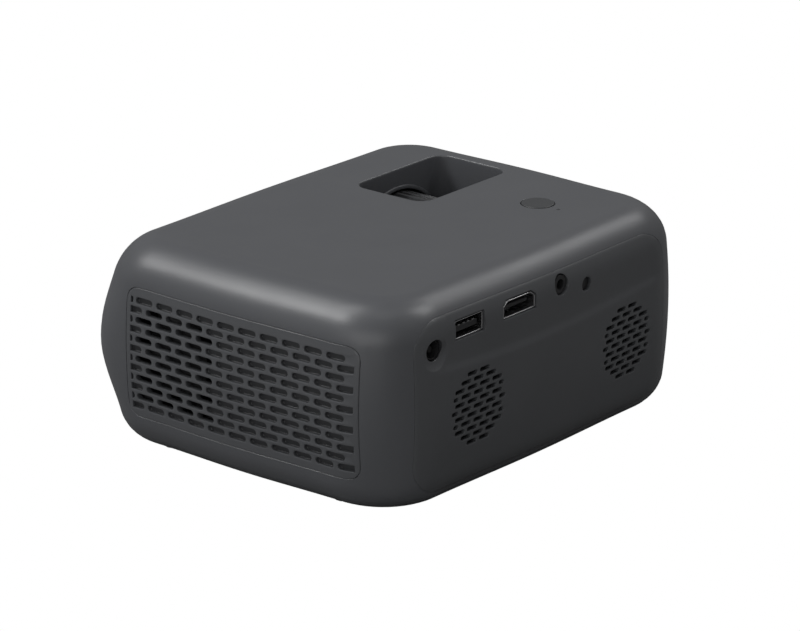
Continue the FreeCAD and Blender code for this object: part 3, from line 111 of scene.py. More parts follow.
def sideAt(y, z, inset=0):
    # x = side + crown * (1 + cos(pi * a)) / 2 - corner arc, a running from 0 mid side to 1
    level = formLevel(z - form["underside"], inset)
    middle = (level["sideRear"] + level["sideFront"]) / 2
    reach = (level["sideRear"] - level["sideFront"]) / 2
    crown = form["sideCrown"] * (1 + np.cos(np.pi * np.clip(abs(y - middle) / reach, 0, 1))) / 2
    return (level["side"] + crown - arcDrop(y - level["sideRear"], level["rearRound"])
            - arcDrop(level["sideFront"] - y, level["frontRound"]))


def rearAt(x, z, inset=0):
    # y = rear + crown * (1 + cos(pi * a)) / 2 - corner arc
    level = formLevel(z - form["underside"], inset)
    crown = form["endCrown"] * (1 + np.cos(np.pi * np.clip(abs(x) / level["rearX"], 0, 1))) / 2
    return level["rearEnd"] + crown - arcDrop(abs(x) - level["rearX"], level["rearRound"])


def frontAt(x, z, inset=0):
    # y = front - crown * (1 + cos(pi * a)) / 2 + corner arc
    level = formLevel(z - form["underside"], inset)
    crown = form["endCrown"] * (1 + np.cos(np.pi * np.clip(abs(x) / level["frontX"], 0, 1))) / 2
    return level["frontEnd"] - crown + arcDrop(abs(x) - level["frontX"], level["frontRound"])


def onSide(flat, inset=0):
    # (y, z) pairs laid on the +X side
    return np.stack([sideAt(flat[..., 0], flat[..., 1], inset), flat[..., 0], flat[..., 1]], -1)


def onRear(flat, inset=0):
    # (x, z) pairs laid on the rear end
    return np.stack([flat[..., 0], rearAt(flat[..., 0], flat[..., 1], inset), flat[..., 1]], -1)


def onFront(flat, inset=0):
    # (x, z) pairs laid on the front end
    return np.stack([flat[..., 0], frontAt(flat[..., 0], flat[..., 1], inset), flat[..., 1]], -1)


# heights are of the grid's rows, angles run up the top round, and each trim is how many columns past
# the corner arcs an opening's block starts and ends
wrap = {"arcSteps": 12, "sideSteps": 28, "endSteps": 36, "lowHeights": [6.6, 7.8, 9.2, 10.6, 12.4, 14.35],
        "wallStart": 17, "wallEnd": 57, "wallStep": 3.0, "brimReach": 0.8,
        "topAngles": [6.4, 12.7, 18, 23.6, 29.2, 34, 38.8, 43.7, 49, 55, 61, 67, 73, 79, 85, 90],
        "ventTrim": (9, 3), "rearTrim": (6, 2), "noseTrim": (7, 3), "ventStart": 4, "noseStart": 6,
        "ventEnd": 1, "noseEnd": 4, "rearEnd": 7}
arcTurns = np.radians(90 * np.arange(1, wrap["arcSteps"]) / wrap["arcSteps"])
sideLines = np.linspace(0, 1, wrap["sideSteps"] + 1)
endLines = np.linspace(-1, 1, wrap["endSteps"] + 1)
columnCounts = [len(arcTurns), len(endLines), len(arcTurns), len(sideLines)] * 2
columnStarts = np.concatenate([[0], np.cumsum(columnCounts)])
frontLeftArc, _, frontRightArc, _, rearRightArc, _, rearLeftArc, leftRun = columnStarts[:8]
wallRows = np.arange(wrap["wallStart"], wrap["wallEnd"], wrap["wallStep"])
lowRows = [form["parting"], *wrap["lowHeights"], *wallRows, roundStart]
topTurns = np.radians(wrap["topAngles"])
ventRow, panelRow, rearRow = (len(lowRows) + wrap[end] for end in ("ventEnd", "noseEnd", "rearEnd"))


def formWrap(inset=0, extra=0, rows=None):
    # closed outline at each height: corner arcs are centre + R (cos t, sin t), runs carry a cosine crown
    if rows is None:
        rows = np.concatenate([lowRows, roundStart + (form["topRound"] - inset) * np.sin(topTurns)])
    rows = np.asarray(rows, float)[:, None]
    level = formLevel(rows - form["underside"], inset, extra)
    turn, ends, sides = arcTurns[None], endLines[None], sideLines[None]
    arcs = {}
    for end, sign in (("front", -1), ("rear", 1)):
        start = level["sideRear"] if sign > 0 else level["sideFront"]
        arcs[end] = (level[end + "X"] + level[end + "Round"] * np.cos(turn),
                     start + sign * level[end + "Round"] * np.sin(turn))
    endCrown = form["endCrown"] * (1 + np.cos(np.pi * ends)) / 2
    sideX = level["side"] + form["sideCrown"] * (1 + np.cos(np.pi * (2 * sides - 1))) / 2
    sideY = level["sideFront"] + sides * (level["sideRear"] - level["sideFront"])
    x = [-arcs["front"][0], ends * level["frontX"], arcs["front"][0][:, ::-1], sideX,
         arcs["rear"][0], -ends * level["rearX"], -arcs["rear"][0][:, ::-1], -sideX[:, ::-1]]
    y = [arcs["front"][1], level["frontEnd"] - endCrown, arcs["front"][1][:, ::-1], sideY,
         arcs["rear"][1], level["rearEnd"] + endCrown, arcs["rear"][1][:, ::-1], sideY[:, ::-1]]
    x, y = np.concatenate(x, 1), np.concatenate(y, 1)
    return np.stack([x, y, np.broadcast_to(rows, x.shape)], -1)


def newSheet():
    # points and faces of a piece while its grids are being added
    return {"points": [], "faces": [], "count": 0}


def addGrid(sheet, grid, closed=False, keep=None):
    # four-sided faces between neighbouring rows and columns of an array of points
    rows, columns = grid.shape[:2]
    index = np.arange(rows * columns).reshape(rows, columns) + sheet["count"]
    if closed:
        index = np.hstack([index, index[:, :1]])
    quads = np.stack([index[:-1, :-1], index[:-1, 1:], index[1:, 1:], index[1:, :-1]], -1)
    quads = quads.reshape(-1, 4) if keep is None else quads[keep]
    sheet["points"].append(grid.reshape(-1, 3))
    sheet["faces"].append(quads)
    sheet["count"] += rows * columns


def makePiece(name, sheet, body, slotName, replaced, fillLevels=(), sharp=34):
    # grids welded into one closed mesh; flat rims at the fill levels are closed with triangles
    mesh = bpy.data.meshes.new(name)
    mesh.from_pydata(np.concatenate(sheet["points"]) * 0.001, [], np.concatenate(sheet["faces"]).tolist())
    work = bmesh.new()
    work.from_mesh(mesh)
    bmesh.ops.remove_doubles(work, verts=work.verts, dist=2e-6)
    bmesh.ops.delete(work, geom=[v for v in work.verts if not v.link_faces], context="VERTS")
    for height in fillLevels:
        rim = [e for e in work.edges
               if e.is_boundary and all(abs(v.co.z - height * 0.001) < 1e-7 for v in e.verts)]
        bmesh.ops.triangle_fill(work, use_beauty=True, edges=rim, normal=(0, 0, 1))
    bmesh.ops.recalc_face_normals(work, faces=work.faces)
    work.to_mesh(mesh)
    work.free()
    mesh.shade_smooth()
    mesh.set_sharp_from_angle(angle=math.radians(sharp))
    piece = bpy.data.objects.new(name, mesh)
    scene.collection.objects.link(piece)
    mesh.materials.append(finishes[slotName])
    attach(piece, body)
    if replaced:
        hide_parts(*replaced)
    print(f"{name}: {len(mesh.polygons)} faces")
    return piece


def unitOf(away):
    # direction of each vector, zero where the vector is zero
    return away / np.maximum(np.linalg.norm(away, axis=-1, keepdims=True), 1e-9)


def roundedNearest(flat, box, radius, grow=0):
    # nearest point of a rounded rectangle: core point + (r + grow) * unit direction from the core
    (left, low), (right, high) = box
    core = np.stack([np.clip(flat[..., 0], left + radius, right - radius),
                     np.clip(flat[..., 1], low + radius, high - radius)], -1)
    away = flat - core
    return core + (radius + grow) * unitOf(away)


def walkRound(grid, rows, columns, closed=True):
    # border of a block of the grid: along the bottom, up, back along the top and down
    (r0, r1), (c0, c1) = rows, columns
    sides = [grid[r0, c0:c1], grid[r0:r1, c1], grid[r1, c1:c0:-1], grid[r1:r0:-1, c0]]
    if not closed:
        return np.concatenate([grid[r0:r1, c0], grid[r1, c0:c1], grid[r1:r0 - 1 if r0 else None:-1, c1]])
    return np.concatenate(sides)


def cutOpening(sheet, outer, inner, rows, columns, place, axes, box, radius, closed=True, eased=form["lip"]):
    # rings from the border of a block to the opening's outline, over a small lip and through the wall
    def rings(grid, inset, grow):
        border = walkRound(grid, rows, columns, closed)
        flat = border[:, axes]
        goal = roundedNearest(flat, box, radius, grow)
        between = [place(flat + (goal - flat) * part, inset) for part in (0.4, 0.8, 1)]
        return [border] + between, goal
    outside, _ = rings(outer, 0, eased)
    inside, goal = rings(inner, form["wall"], 0)
    edge = roundedNearest(walkRound(outer, rows, columns, closed)[:, axes], box, radius)
    lip = [place(edge, eased)]
    band = np.stack(outside + lip + inside[::-1])
    addGrid(sheet, band, closed)
    return band


def addRim(sheet, outer, inner, band, columns):
    # parting face between the two wraps, closed at the ends of the opening by its rings
    around = [*range(columns[1] + 1, outer.shape[1]), *range(columns[0])]
    outerRows, innerRows = [4, 3, 2, 1, 0], [5, 5, 6, 7, 8]
    outerRun = np.concatenate([band[outerRows, -1], outer[0, around], band[outerRows[::-1], 0]])
    innerRun = np.concatenate([band[innerRows, -1], inner[0, around], band[innerRows[::-1], 0]])
    addGrid(sheet, np.stack([outerRun, innerRun]))


def newGroup(name, inputs, outputs):
    # empty node group with its sockets, its input node and its output node
    group = bpy.data.node_groups.new(name, "ShaderNodeTree")
    for label, kind, value in inputs:
        socket = group.interface.new_socket(label, in_out="INPUT", socket_type=kind)
        if value is not None:
            socket.default_value = value
    for label, kind in outputs:
        group.interface.new_socket(label, in_out="OUTPUT", socket_type=kind)
    return group, group.nodes.new("NodeGroupInput"), group.nodes.new("NodeGroupOutput")


def grainGroup():
    # two sizes of noise added and turned into a small bump
    group, start, end = newGroup("mouldedGrain", [
        ("Scale", "NodeSocketFloat", 5000), ("Depth", "NodeSocketFloat", 0.2)],
        [("Normal", "NodeSocketVector"), ("Height", "NodeSocketFloat")])
    place = group.nodes.new("ShaderNodeTexCoord")
    fine = group.nodes.new("ShaderNodeTexNoise")
    coarse = group.nodes.new("ShaderNodeTexNoise")
    fine.inputs["Detail"].default_value = 2
    coarse.inputs["Detail"].default_value = 3
    wider = group.nodes.new("ShaderNodeMath")
    wider.operation = "MULTIPLY"
    wider.inputs[1].default_value = 0.22
    both = group.nodes.new("ShaderNodeMath")
    both.operation = "ADD"
    bump = group.nodes.new("ShaderNodeBump")
    bump.inputs["Distance"].default_value = 0.00006
    link = group.links.new
    link(place.outputs["Object"], fine.inputs["Vector"])
    link(place.outputs["Object"], coarse.inputs["Vector"])
    link(start.outputs["Scale"], fine.inputs["Scale"])
    link(start.outputs["Scale"], wider.inputs[0])
    link(wider.outputs[0], coarse.inputs["Scale"])
    link(fine.outputs["Fac"], both.inputs[0])
    link(coarse.outputs["Fac"], both.inputs[1])
    link(both.outputs[0], bump.inputs["Height"])
    link(start.outputs["Depth"], bump.inputs["Strength"])
    link(bump.outputs["Normal"], end.inputs["Normal"])
    link(both.outputs[0], end.inputs["Height"])
    return group


def driftGroup():
    # the two colours mixed by noise, and roughness + spread * (noise - 0.5)
    group, start, end = newGroup("toneDrift", [
        ("Color", "NodeSocketColor", (0.1, 0.1, 0.1, 1)), ("Second", "NodeSocketColor", (0.1, 0.1, 0.1, 1)),
        ("Scale", "NodeSocketFloat", 40), ("Roughness", "NodeSocketFloat", 0.5),
        ("Spread", "NodeSocketFloat", 0.05)],
        [("Color", "NodeSocketColor"), ("Roughness", "NodeSocketFloat")])
    place = group.nodes.new("ShaderNodeTexCoord")
    noise = group.nodes.new("ShaderNodeTexNoise")
    noise.inputs["Detail"].default_value = 4
    ramp = group.nodes.new("ShaderNodeMapRange")
    ramp.inputs["From Min"].default_value = 0.3
    ramp.inputs["From Max"].default_value = 0.7
    mix = group.nodes.new("ShaderNodeMix")
    mix.data_type = "RGBA"
    around = group.nodes.new("ShaderNodeMath")
    around.operation = "SUBTRACT"
    around.inputs[1].default_value = 0.5
    spread = group.nodes.new("ShaderNodeMath")
    spread.operation = "MULTIPLY_ADD"
    link = group.links.new
    link(place.outputs["Object"], noise.inputs["Vector"])
    link(start.outputs["Scale"], noise.inputs["Scale"])
    link(noise.outputs["Fac"], ramp.inputs["Value"])
    link(ramp.outputs["Result"], mix.inputs["Factor"])
    link(start.outputs["Color"], mix.inputs[6])
    link(start.outputs["Second"], mix.inputs[7])
    link(noise.outputs["Fac"], around.inputs[0])
    link(around.outputs[0], spread.inputs[0])
    link(start.outputs["Spread"], spread.inputs[1])
    link(start.outputs["Roughness"], spread.inputs[2])
    link(mix.outputs[2], end.inputs["Color"])
    link(spread.outputs[0], end.inputs["Roughness"])
    return group


mouldedGrain, toneDrift = grainGroup(), driftGroup()

# colour, second colour, roughness, metallic, grain scale, grain depth
finishTable = {
    "shell_plastic": ((0.088, 0.091, 0.098), (0.084, 0.087, 0.094), 0.36, 0, 5200, 0.16),
    "base_plastic": ((0.088, 0.091, 0.098), (0.084, 0.087, 0.094), 0.36, 0, 5200, 0.16),
    "grille_plastic": ((0.086, 0.089, 0.095), (0.082, 0.085, 0.091), 0.36, 0, 5200, 0.16),
    "rear_plastic": ((0.08, 0.083, 0.088), (0.076, 0.079, 0.084), 0.36, 0, 5200, 0.16),
    "button_plastic": ((0.05, 0.052, 0.055), (0.047, 0.049, 0.052), 0.42, 0, 5600, 0.14),
    "bezel_plastic": ((0.07, 0.072, 0.077), (0.066, 0.068, 0.073), 0.45, 0, 5200, 0.14),
    "tray_plastic": ((0.03, 0.031, 0.033), (0.026, 0.027, 0.029), 0.5, 0, 4200, 0.2),
    "ring_plastic": ((0.045, 0.046, 0.049), (0.04, 0.041, 0.044), 0.5, 0, 4600, 0.2),
    "black_plastic": ((0.018, 0.018, 0.019), (0.014, 0.014, 0.015), 0.55, 0, 4200, 0.22),
    "socket_plastic": ((0.02, 0.02, 0.021), (0.016, 0.016, 0.017), 0.45, 0, 5200, 0.12),
    "gloss_black": ((0.012, 0.012, 0.013), (0.01, 0.01, 0.011), 0.12, 0, 900, 0.02),
    "foot_rubber": ((0.016, 0.016, 0.016), (0.022, 0.022, 0.021), 0.82, 0, 2600, 0.5),
    "board_green": ((0.012, 0.075, 0.035), (0.009, 0.06, 0.028), 0.4, 0, 1800, 0.12),
    "lamp_board": ((0.5, 0.5, 0.48), (0.42, 0.42, 0.4), 0.45, 0, 1800, 0.1),
    "chip_black": ((0.014, 0.014, 0.015), (0.02, 0.02, 0.021), 0.4, 0, 2600, 0.12),
    "cone_paper": ((0.022, 0.021, 0.02), (0.03, 0.029, 0.027), 0.85, 0, 1500, 0.6),
    "trim_metal": ((0.5, 0.5, 0.51), (0.44, 0.44, 0.45), 0.28, 1, 2600, 0.06),
    "socket_metal": ((0.62, 0.62, 0.63), (0.54, 0.54, 0.55), 0.27, 1, 2200, 0.06),
    "screw_steel": ((0.5, 0.5, 0.51), (0.42, 0.42, 0.43), 0.3, 1, 2600, 0.08),
    "drive_steel": ((0.46, 0.47, 0.48), (0.4, 0.41, 0.42), 0.36, 1, 900, 0.08),
    "magnet_metal": ((0.36, 0.36, 0.37), (0.3, 0.3, 0.31), 0.38, 1, 1400, 0.1),
    "reflector_metal": ((0.8, 0.8, 0.81), (0.74, 0.74, 0.75), 0.14, 1, 1200, 0.02),
    "sink_aluminium": ((0.66, 0.67, 0.68), (0.58, 0.59, 0.6), 0.34, 1, 1200, 0.14),
    "mirror_silver": ((0.9, 0.9, 0.91), (0.87, 0.87, 0.88), 0.05, 1, 600, 0.01),
}
clearTable = {"lens_glass": ((0.9, 0.95, 1.0), (0.86, 0.92, 0.98), 0.02, 1.0),
              "lcd_glass": ((0.05, 0.06, 0.08), (0.04, 0.05, 0.07), 0.08, 0.25),
              "light_pipe": ((0.05, 0.05, 0.055), (0.04, 0.04, 0.045), 0.2, 0.15)}


def makeFinish(name, colour, second, roughness, grainScale=None, grainDepth=0):
    # drifting tone and roughness, with moulded grain where a scale is given
    material = bpy.data.materials.new(name)
    material.use_nodes = True
    tree = material.node_tree
    shader = tree.nodes["Principled BSDF"]
    tone = tree.nodes.new("ShaderNodeGroup")
    tone.node_tree = toneDrift
    tone.inputs["Color"].default_value = (*colour, 1)
    tone.inputs["Second"].default_value = (*second, 1)
    tone.inputs["Scale"].default_value = 45
    tone.inputs["Roughness"].default_value = roughness
    tone.inputs["Spread"].default_value = min(0.12, roughness * 0.25)
    tree.links.new(tone.outputs["Color"], shader.inputs["Base Color"])
    tree.links.new(tone.outputs["Roughness"], shader.inputs["Roughness"])
    if grainScale:
        grain = tree.nodes.new("ShaderNodeGroup")
        grain.node_tree = mouldedGrain
        grain.inputs["Scale"].default_value = grainScale
        grain.inputs["Depth"].default_value = grainDepth
        tree.links.new(grain.outputs["Normal"], shader.inputs["Normal"])
    return material, shader


finishes = {}
for label, (colour, second, roughness, metallic, grainScale, grainDepth) in finishTable.items():
    finishes[label], shader = makeFinish(label, colour, second, roughness, grainScale, grainDepth)
    shader.inputs["Metallic"].default_value = metallic
for label, (colour, second, roughness, clear) in clearTable.items():
    finishes[label], shader = makeFinish(label, colour, second, roughness)
    shader.inputs["Transmission Weight"].default_value = clear
    shader.inputs["IOR"].default_value = 1.52
print("finishes made:", len(finishes))


def paintSunkShade(material, share):
    # painted shade: colour mixed with black by share * sunk, the attribute running from 0 at the face to 1
    # deep in a slot, so slots and holes darken with depth as if in shadow
    tree = material.node_tree
    shader = tree.nodes["Principled BSDF"]
    colour = shader.inputs["Base Color"].links[0].from_socket
    attribute = tree.nodes.new("ShaderNodeAttribute")
    attribute.attribute_name = "sunk"
    amount = tree.nodes.new("ShaderNodeMath")
    amount.operation = "MULTIPLY"
    amount.inputs[1].default_value = share
    mix = tree.nodes.new("ShaderNodeMix")
    mix.data_type = "RGBA"
    # near-black colour of the painted shade
    mix.inputs[7].default_value = (0.012, 0.012, 0.013, 1)
    tree.links.new(attribute.outputs["Fac"], amount.inputs[0])
    tree.links.new(amount.outputs[0], mix.inputs["Factor"])
    tree.links.new(colour, mix.inputs[6])
    tree.links.new(mix.outputs[2], shader.inputs["Base Color"])


# painted shade deep in the grille's slots and in the rear panel's slots and holes
paintSunkShade(finishes["grille_plastic"], 0.72)
paintSunkShade(finishes["rear_plastic"], 0.85)
# painted shade: the power socket's pin is near-black metal so that it reads as lying in shadow deep in the
# socket
paintedShadePin, shader = makeFinish("paintedShadePin", (0.05, 0.05, 0.05), (0.04, 0.04, 0.04), 0.5, 2200, 0.1)
shader.inputs["Metallic"].default_value = 1

slotPieces = {
    "shell_plastic": ["upper_shell"], "base_plastic": ["base_cover"], "grille_plastic": ["vent_grille"],
    "rear_plastic": ["rear_panel"], "gloss_black": ["lens_panel"], "trim_metal": ["lens_trim"],
    "button_plastic": ["power_button", "eject_button"], "light_pipe": ["power_light"],
    "screw_steel": ["case_screws", "guide_rods", "lead_screw"], "foot_rubber": ["foot_pads"],
    "ring_plastic": ["focus_ring"],
    "black_plastic": ["lens_mount", "lens_barrel", "optical_housing", "optical_lid", "fan_frame",
                      "fan_rotor"],
    "lens_glass": ["front_lens", "middle_lens", "rear_lens", "field_lens", "condenser_lens",
                   "collimator_lens", "pickup_lens"],
    "mirror_silver": ["fold_mirror"], "lcd_glass": ["lcd_panel"], "reflector_metal": ["led_reflector"],
    "lamp_board": ["led_module"], "sink_aluminium": ["heat_sink"],
    "drive_steel": ["speaker_frames", "drive_chassis", "drive_cover", "tray_rails", "tray_base"],
    "cone_paper": ["speaker_cones"], "magnet_metal": ["speaker_magnets", "spindle_motor", "feed_motor"],
    "board_green": ["main_board", "key_board"], "chip_black": ["board_chips", "ir_receiver", "tact_switch"],
    "socket_metal": ["usb_shell", "hdmi_shell", "dc_pin"],
    "socket_plastic": ["usb_tongue", "hdmi_tongue", "dc_jack", "headphone_jack"],
    "bezel_plastic": ["tray_bezel"], "tray_plastic": ["disc_tray", "spindle_hub", "pickup_sled"],
}
for label, names in slotPieces.items():
    for name in names:
        for holder in nodes[name].material_slots:
            # the power socket's pin takes the painted-shade dark metal
            holder.material = paintedShadePin if name == "dc_pin" else finishes[label]


def roundedCore(box, radius, along, turn=10):
    # counter-clockwise loop: core points and outward directions, so a loop is core + (r + grow) * direction
    (left, low), (right, high) = box
    left, right, low, high = left + radius, right - radius, low + radius, high - radius
    corners = [(right, low, -90), (right, high, 0), (left, high, 90), (left, low, 180)]
    core, away = [], []
    for place, (x, y, start) in enumerate(corners):
        angle = np.radians(start + 90 * np.arange(turn) / turn)
        core.append(np.tile([x, y], (turn, 1)))
        away.append(np.stack([np.cos(angle), np.sin(angle)], -1))
        nextX, nextY, _ = corners[(place + 1) % 4]
        part = np.arange(along[place % 2])[:, None] / along[place % 2]
        core.append(np.array([x, y]) + (np.array([nextX, nextY]) - np.array([x, y])) * part)
        away.append(np.tile([math.cos(math.radians(start + 90)), math.sin(math.radians(start + 90))],
                            (along[place % 2], 1)))
    return np.concatenate(core), np.concatenate(away)


vent = {"box": ((-43.825, 13.25), (51.875, 57.35)), "corner": 4.6}
rear = {"box": ((-61.5, 6.6), (66.0, 64.1)), "corner": 11.0, "gap": 0.07, "lip": 0.035}
lensPanel = {"box": ((-66.0, 15.5), (66.0, 61.2)), "corner": 8.0, "gap": 0.15, "clear": 0.05, "step": 2.6,
             "lip": 0.1}
trayGap = {"box": ((-64.6, -10.0), (64.6, 13.2)), "corner": 0.3}
well = {"box": ((-63.4, -30.525), (-17.4, -0.625)), "corner": 5.3, "floor": 48.0, "wall": 1.2,
        "lip": 0.6, "flat": 0.9, "archRadius": 24.5, "rim": 1.35, "sleeve": 19.4, "frontPart": -15,
        "along": (22, 48), "turn": 12, "wallRows": 14, "thinnest": 0.05,
        "bead": ((0.97, 0.3), (0.88, 0.52), (0.74, 0.6), (0.26, 0.6), (0.1, 0.54), (0, 0.38))}
lensAxis = {"x": -40.4, "z": 37.8}
turnSteps = {"hole": 72, "button": 96, "trim": 128, "foot": 48, "screw": 24}
button = {"x": -41.4, "y": 28.675, "hole": 5.75, "lip": 0.2}
lamp = {"x": -40.4, "y": 37.975, "hole": 0.7, "lip": 0.08}


def circleCurve(x, radius):
    # height of a circle about the lens axis at x: z + sqrt(R^2 - d^2)
    return lensAxis["z"] + np.sqrt(np.maximum(radius ** 2 - (x - lensAxis["x"]) ** 2, 0))


def wellRows():
    # lip arc, then rows down to the bead's outer curve, over the bead and back up outside the wall
    core, away = roundedCore(well["box"], well["corner"], well["along"], well["turn"])
    edge = core + well["corner"] * away
    front = edge[:, 1] < well["frontPart"]
    floor = well["floor"]
    bottom = circleCurve(edge[:, 0], np.where(front, well["archRadius"], well["sleeve"]))
    bottom = np.maximum(bottom, floor)
    bead = np.where(front, circleCurve(edge[:, 0], well["archRadius"] + well["rim"]), floor)
    bead = np.maximum(bead, bottom + well["thinnest"])
    facing = np.clip(-away[:, 1], 0, 1) ** 2 * front
    rows = []

    def row(grow, z, proud=0.0):
        flat = core + (well["corner"] + grow - proud * facing)[:, None] * away
        rows.append(np.concatenate([flat, np.broadcast_to(z, len(flat))[:, None]], 1))

    row(np.full(len(core), well["flat"]), formTop)
    lip = well["lip"]
    for turn in np.radians([0, 15, 30, 45, 60, 75, 90]):
        row(np.full(len(core), lip * (1 - math.sin(turn))), formTop - lip * (1 - math.cos(turn)))
    start = formTop - lip
    zero = np.zeros(len(core))
    for part in np.linspace(0, 1, well["wallRows"])[1:]:
        row(zero, start + (bead - start) * part)
    span = bead - bottom
    for part, proud in well["bead"]:
        row(zero, bottom + span * part, proud)
    row(zero + well["wall"], bottom)
    row(zero + well["wall"], formTop - form["wall"])
    return np.stack(rows)


def holeRows(hole):
    # flat ring, lip arc and bore of a round hole in the top
    turn = np.linspace(0, 2 * np.pi, turnSteps["hole"], endpoint=False)
    rows = [(hole["hole"] + hole["lip"] * 2, formTop)]
    rows += [(hole["hole"] + hole["lip"] * (1 - math.sin(a)), formTop - hole["lip"] * (1 - math.cos(a)))
             for a in np.radians([0, 30, 60, 90])]
    rows += [(hole["hole"], formTop - form["wall"])]
    return np.stack([np.stack([hole["x"] + r * np.cos(turn), hole["y"] + r * np.sin(turn),
                               np.full(len(turn), z)], -1) for r, z in rows])


def upperShell():
    # the wrapped form with four openings, its parting face, the finger well and two round holes
    outer, inner = formWrap(), formWrap(form["wall"])
    last = outer.shape[1] - 1
    ventColumns = (frontRightArc + wrap["ventTrim"][0], rearRightArc + wrap["ventTrim"][1])
    rearColumns = (rearRightArc + wrap["rearTrim"][0], rearLeftArc + wrap["rearTrim"][1])
    noseColumns = (frontLeftArc + wrap["noseTrim"][0], frontRightArc + wrap["noseTrim"][1])
    ventRows, noseRows = (wrap["ventStart"], ventRow), (wrap["noseStart"], panelRow)
    trayRows = (0, wrap["noseStart"])
    blocks = [(*ventRows, *ventColumns), (0, rearRow, *rearColumns), (0, panelRow, *noseColumns)]
    keep = np.ones((outer.shape[0] - 1, last + 1), bool)
    for r0, r1, c0, c1 in blocks:
        keep[r0:r1, c0:c1] = False
    sheet = newSheet()
    addGrid(sheet, outer, True, keep)
    addGrid(sheet, inner, True, keep)
    cutOpening(sheet, outer, inner, ventRows, ventColumns, onSide, (1, 2), vent["box"], vent["corner"])
    cutOpening(sheet, outer, inner, (0, rearRow), rearColumns, onRear, (0, 2), rear["box"], rear["corner"],
               eased=rear["lip"])
    cutOpening(sheet, outer, inner, noseRows, noseColumns, onFront, (0, 2),
               lensPanel["box"], lensPanel["corner"])
    tray = cutOpening(sheet, outer, inner, trayRows, noseColumns, onFront, (0, 2),
                      trayGap["box"], trayGap["corner"], False)
    addRim(sheet, outer, inner, tray, noseColumns)
    for inset, wrapped in ((0, outer), (form["wall"], inner)):
        brim = formWrap(inset, wrap["brimReach"], [formTop - inset])[0]
        addGrid(sheet, np.stack([wrapped[-1], brim]), True)
    addGrid(sheet, wellRows(), True)
    for hole in (button, lamp):
        addGrid(sheet, holeRows(hole), True)
    return makePiece("upperShell", sheet, "housing", "shell_plastic", ["upper_shell"],
                     (formTop, formTop - form["wall"]))


def markSunkShade(piece, depth):
    # depth at each point, held between 0 and 1, as the mask of the painted shade that darkens the finish with
    # depth
    marks = piece.data.attributes.new("sunk", "FLOAT", "POINT")
    marks.data.foreach_set("value", np.clip(depth, 0, 1).astype(np.float32))


def slotNearest(flat, slot, grow):
    # capsule outline with its own end radii: straight middle, arcs of radius r about each end's core
    left, right, middle, width, leftRound, rightRound = slot
    centre = (left + right) / 2
    ends = np.where(flat[..., 0] < centre, leftRound, rightRound)
    core = np.stack([np.clip(flat[..., 0], left + leftRound, right - rightRound),
                     np.clip(flat[..., 1], middle - width / 2 + ends, middle + width / 2 - ends)], -1)
    away = flat - core
    return core + (ends[..., None] + grow) * unitOf(away)


def addSlotCell(sheet, across, low, high, steps, slot, depth, place, thickness, lip=0.2, eased=0.12):
    # rings from the cell's border over the slot's lip to its floor, or through the panel when depth is None
    upright = np.linspace(low, high, steps + 1)
    border = np.concatenate([
        np.stack([across[:-1], np.full(len(across) - 1, low)], -1),
        np.stack([np.full(steps, across[-1]), upright[:-1]], -1),
        np.stack([across[:0:-1], np.full(len(across) - 1, high)], -1),
        np.stack([np.full(steps, across[0]), upright[:0:-1]], -1)])
    left, right, middle, width, leftRound, rightRound = slot
    spine = np.stack([np.clip(border[:, 0], min(left + width / 2, (left + right) / 2),
                              max(right - width / 2, (left + right) / 2)),
                      np.full(len(border), middle)], -1)
    rings = [place(border, 0), place(slotNearest(border, slot, lip), 0),
             place(slotNearest(border, slot, lip * 0.3), lip * 0.3), place(slotNearest(border, slot, 0), lip)]
    if depth is None:
        rings += [place(slotNearest(border, slot, 0), thickness), place(border, thickness)]
        addGrid(sheet, np.stack(rings), True)
    else:
        rings += [place(slotNearest(border, slot, 0), depth - eased),
                  place(slotNearest(border, slot, -eased), depth), place(spine, depth)]
        addGrid(sheet, np.stack(rings), True)
        addGrid(sheet, np.stack([place(spine, thickness), place(border, thickness)]), True)


def addPlainCell(sheet, across, low, high, steps, place, thickness):
    # front and back of a cell that has no slot
    flat = np.stack(np.meshgrid(across, np.linspace(low, high, steps + 1)), -1)
    addGrid(sheet, place(flat, 0))
    addGrid(sheet, place(flat, thickness))


grille = {"gap": 0.15, "margin": 1.85, "firstSlot": 7.6, "firstRow": 4.3, "pitch": 8.85, "rowPitch": 3.258,
          "length": 7.15, "width": 2.2, "blind": 1.4, "border": 0.6, "across": 12, "upright": 4,
          "sliver": 0.95, "cutRound": 0.12, "roundShare": 0.8, "shortWidth": 0.9, "openColumns": 3.2,
          "clear": 0.3}
near = 0.01  # how close two grid lines count as the same


def onVent(flat, depth):
    # (y, z) pairs laid on the side and sunk straight in by depth
    surface = onSide(flat)
    surface[..., 0] -= depth
    return surface


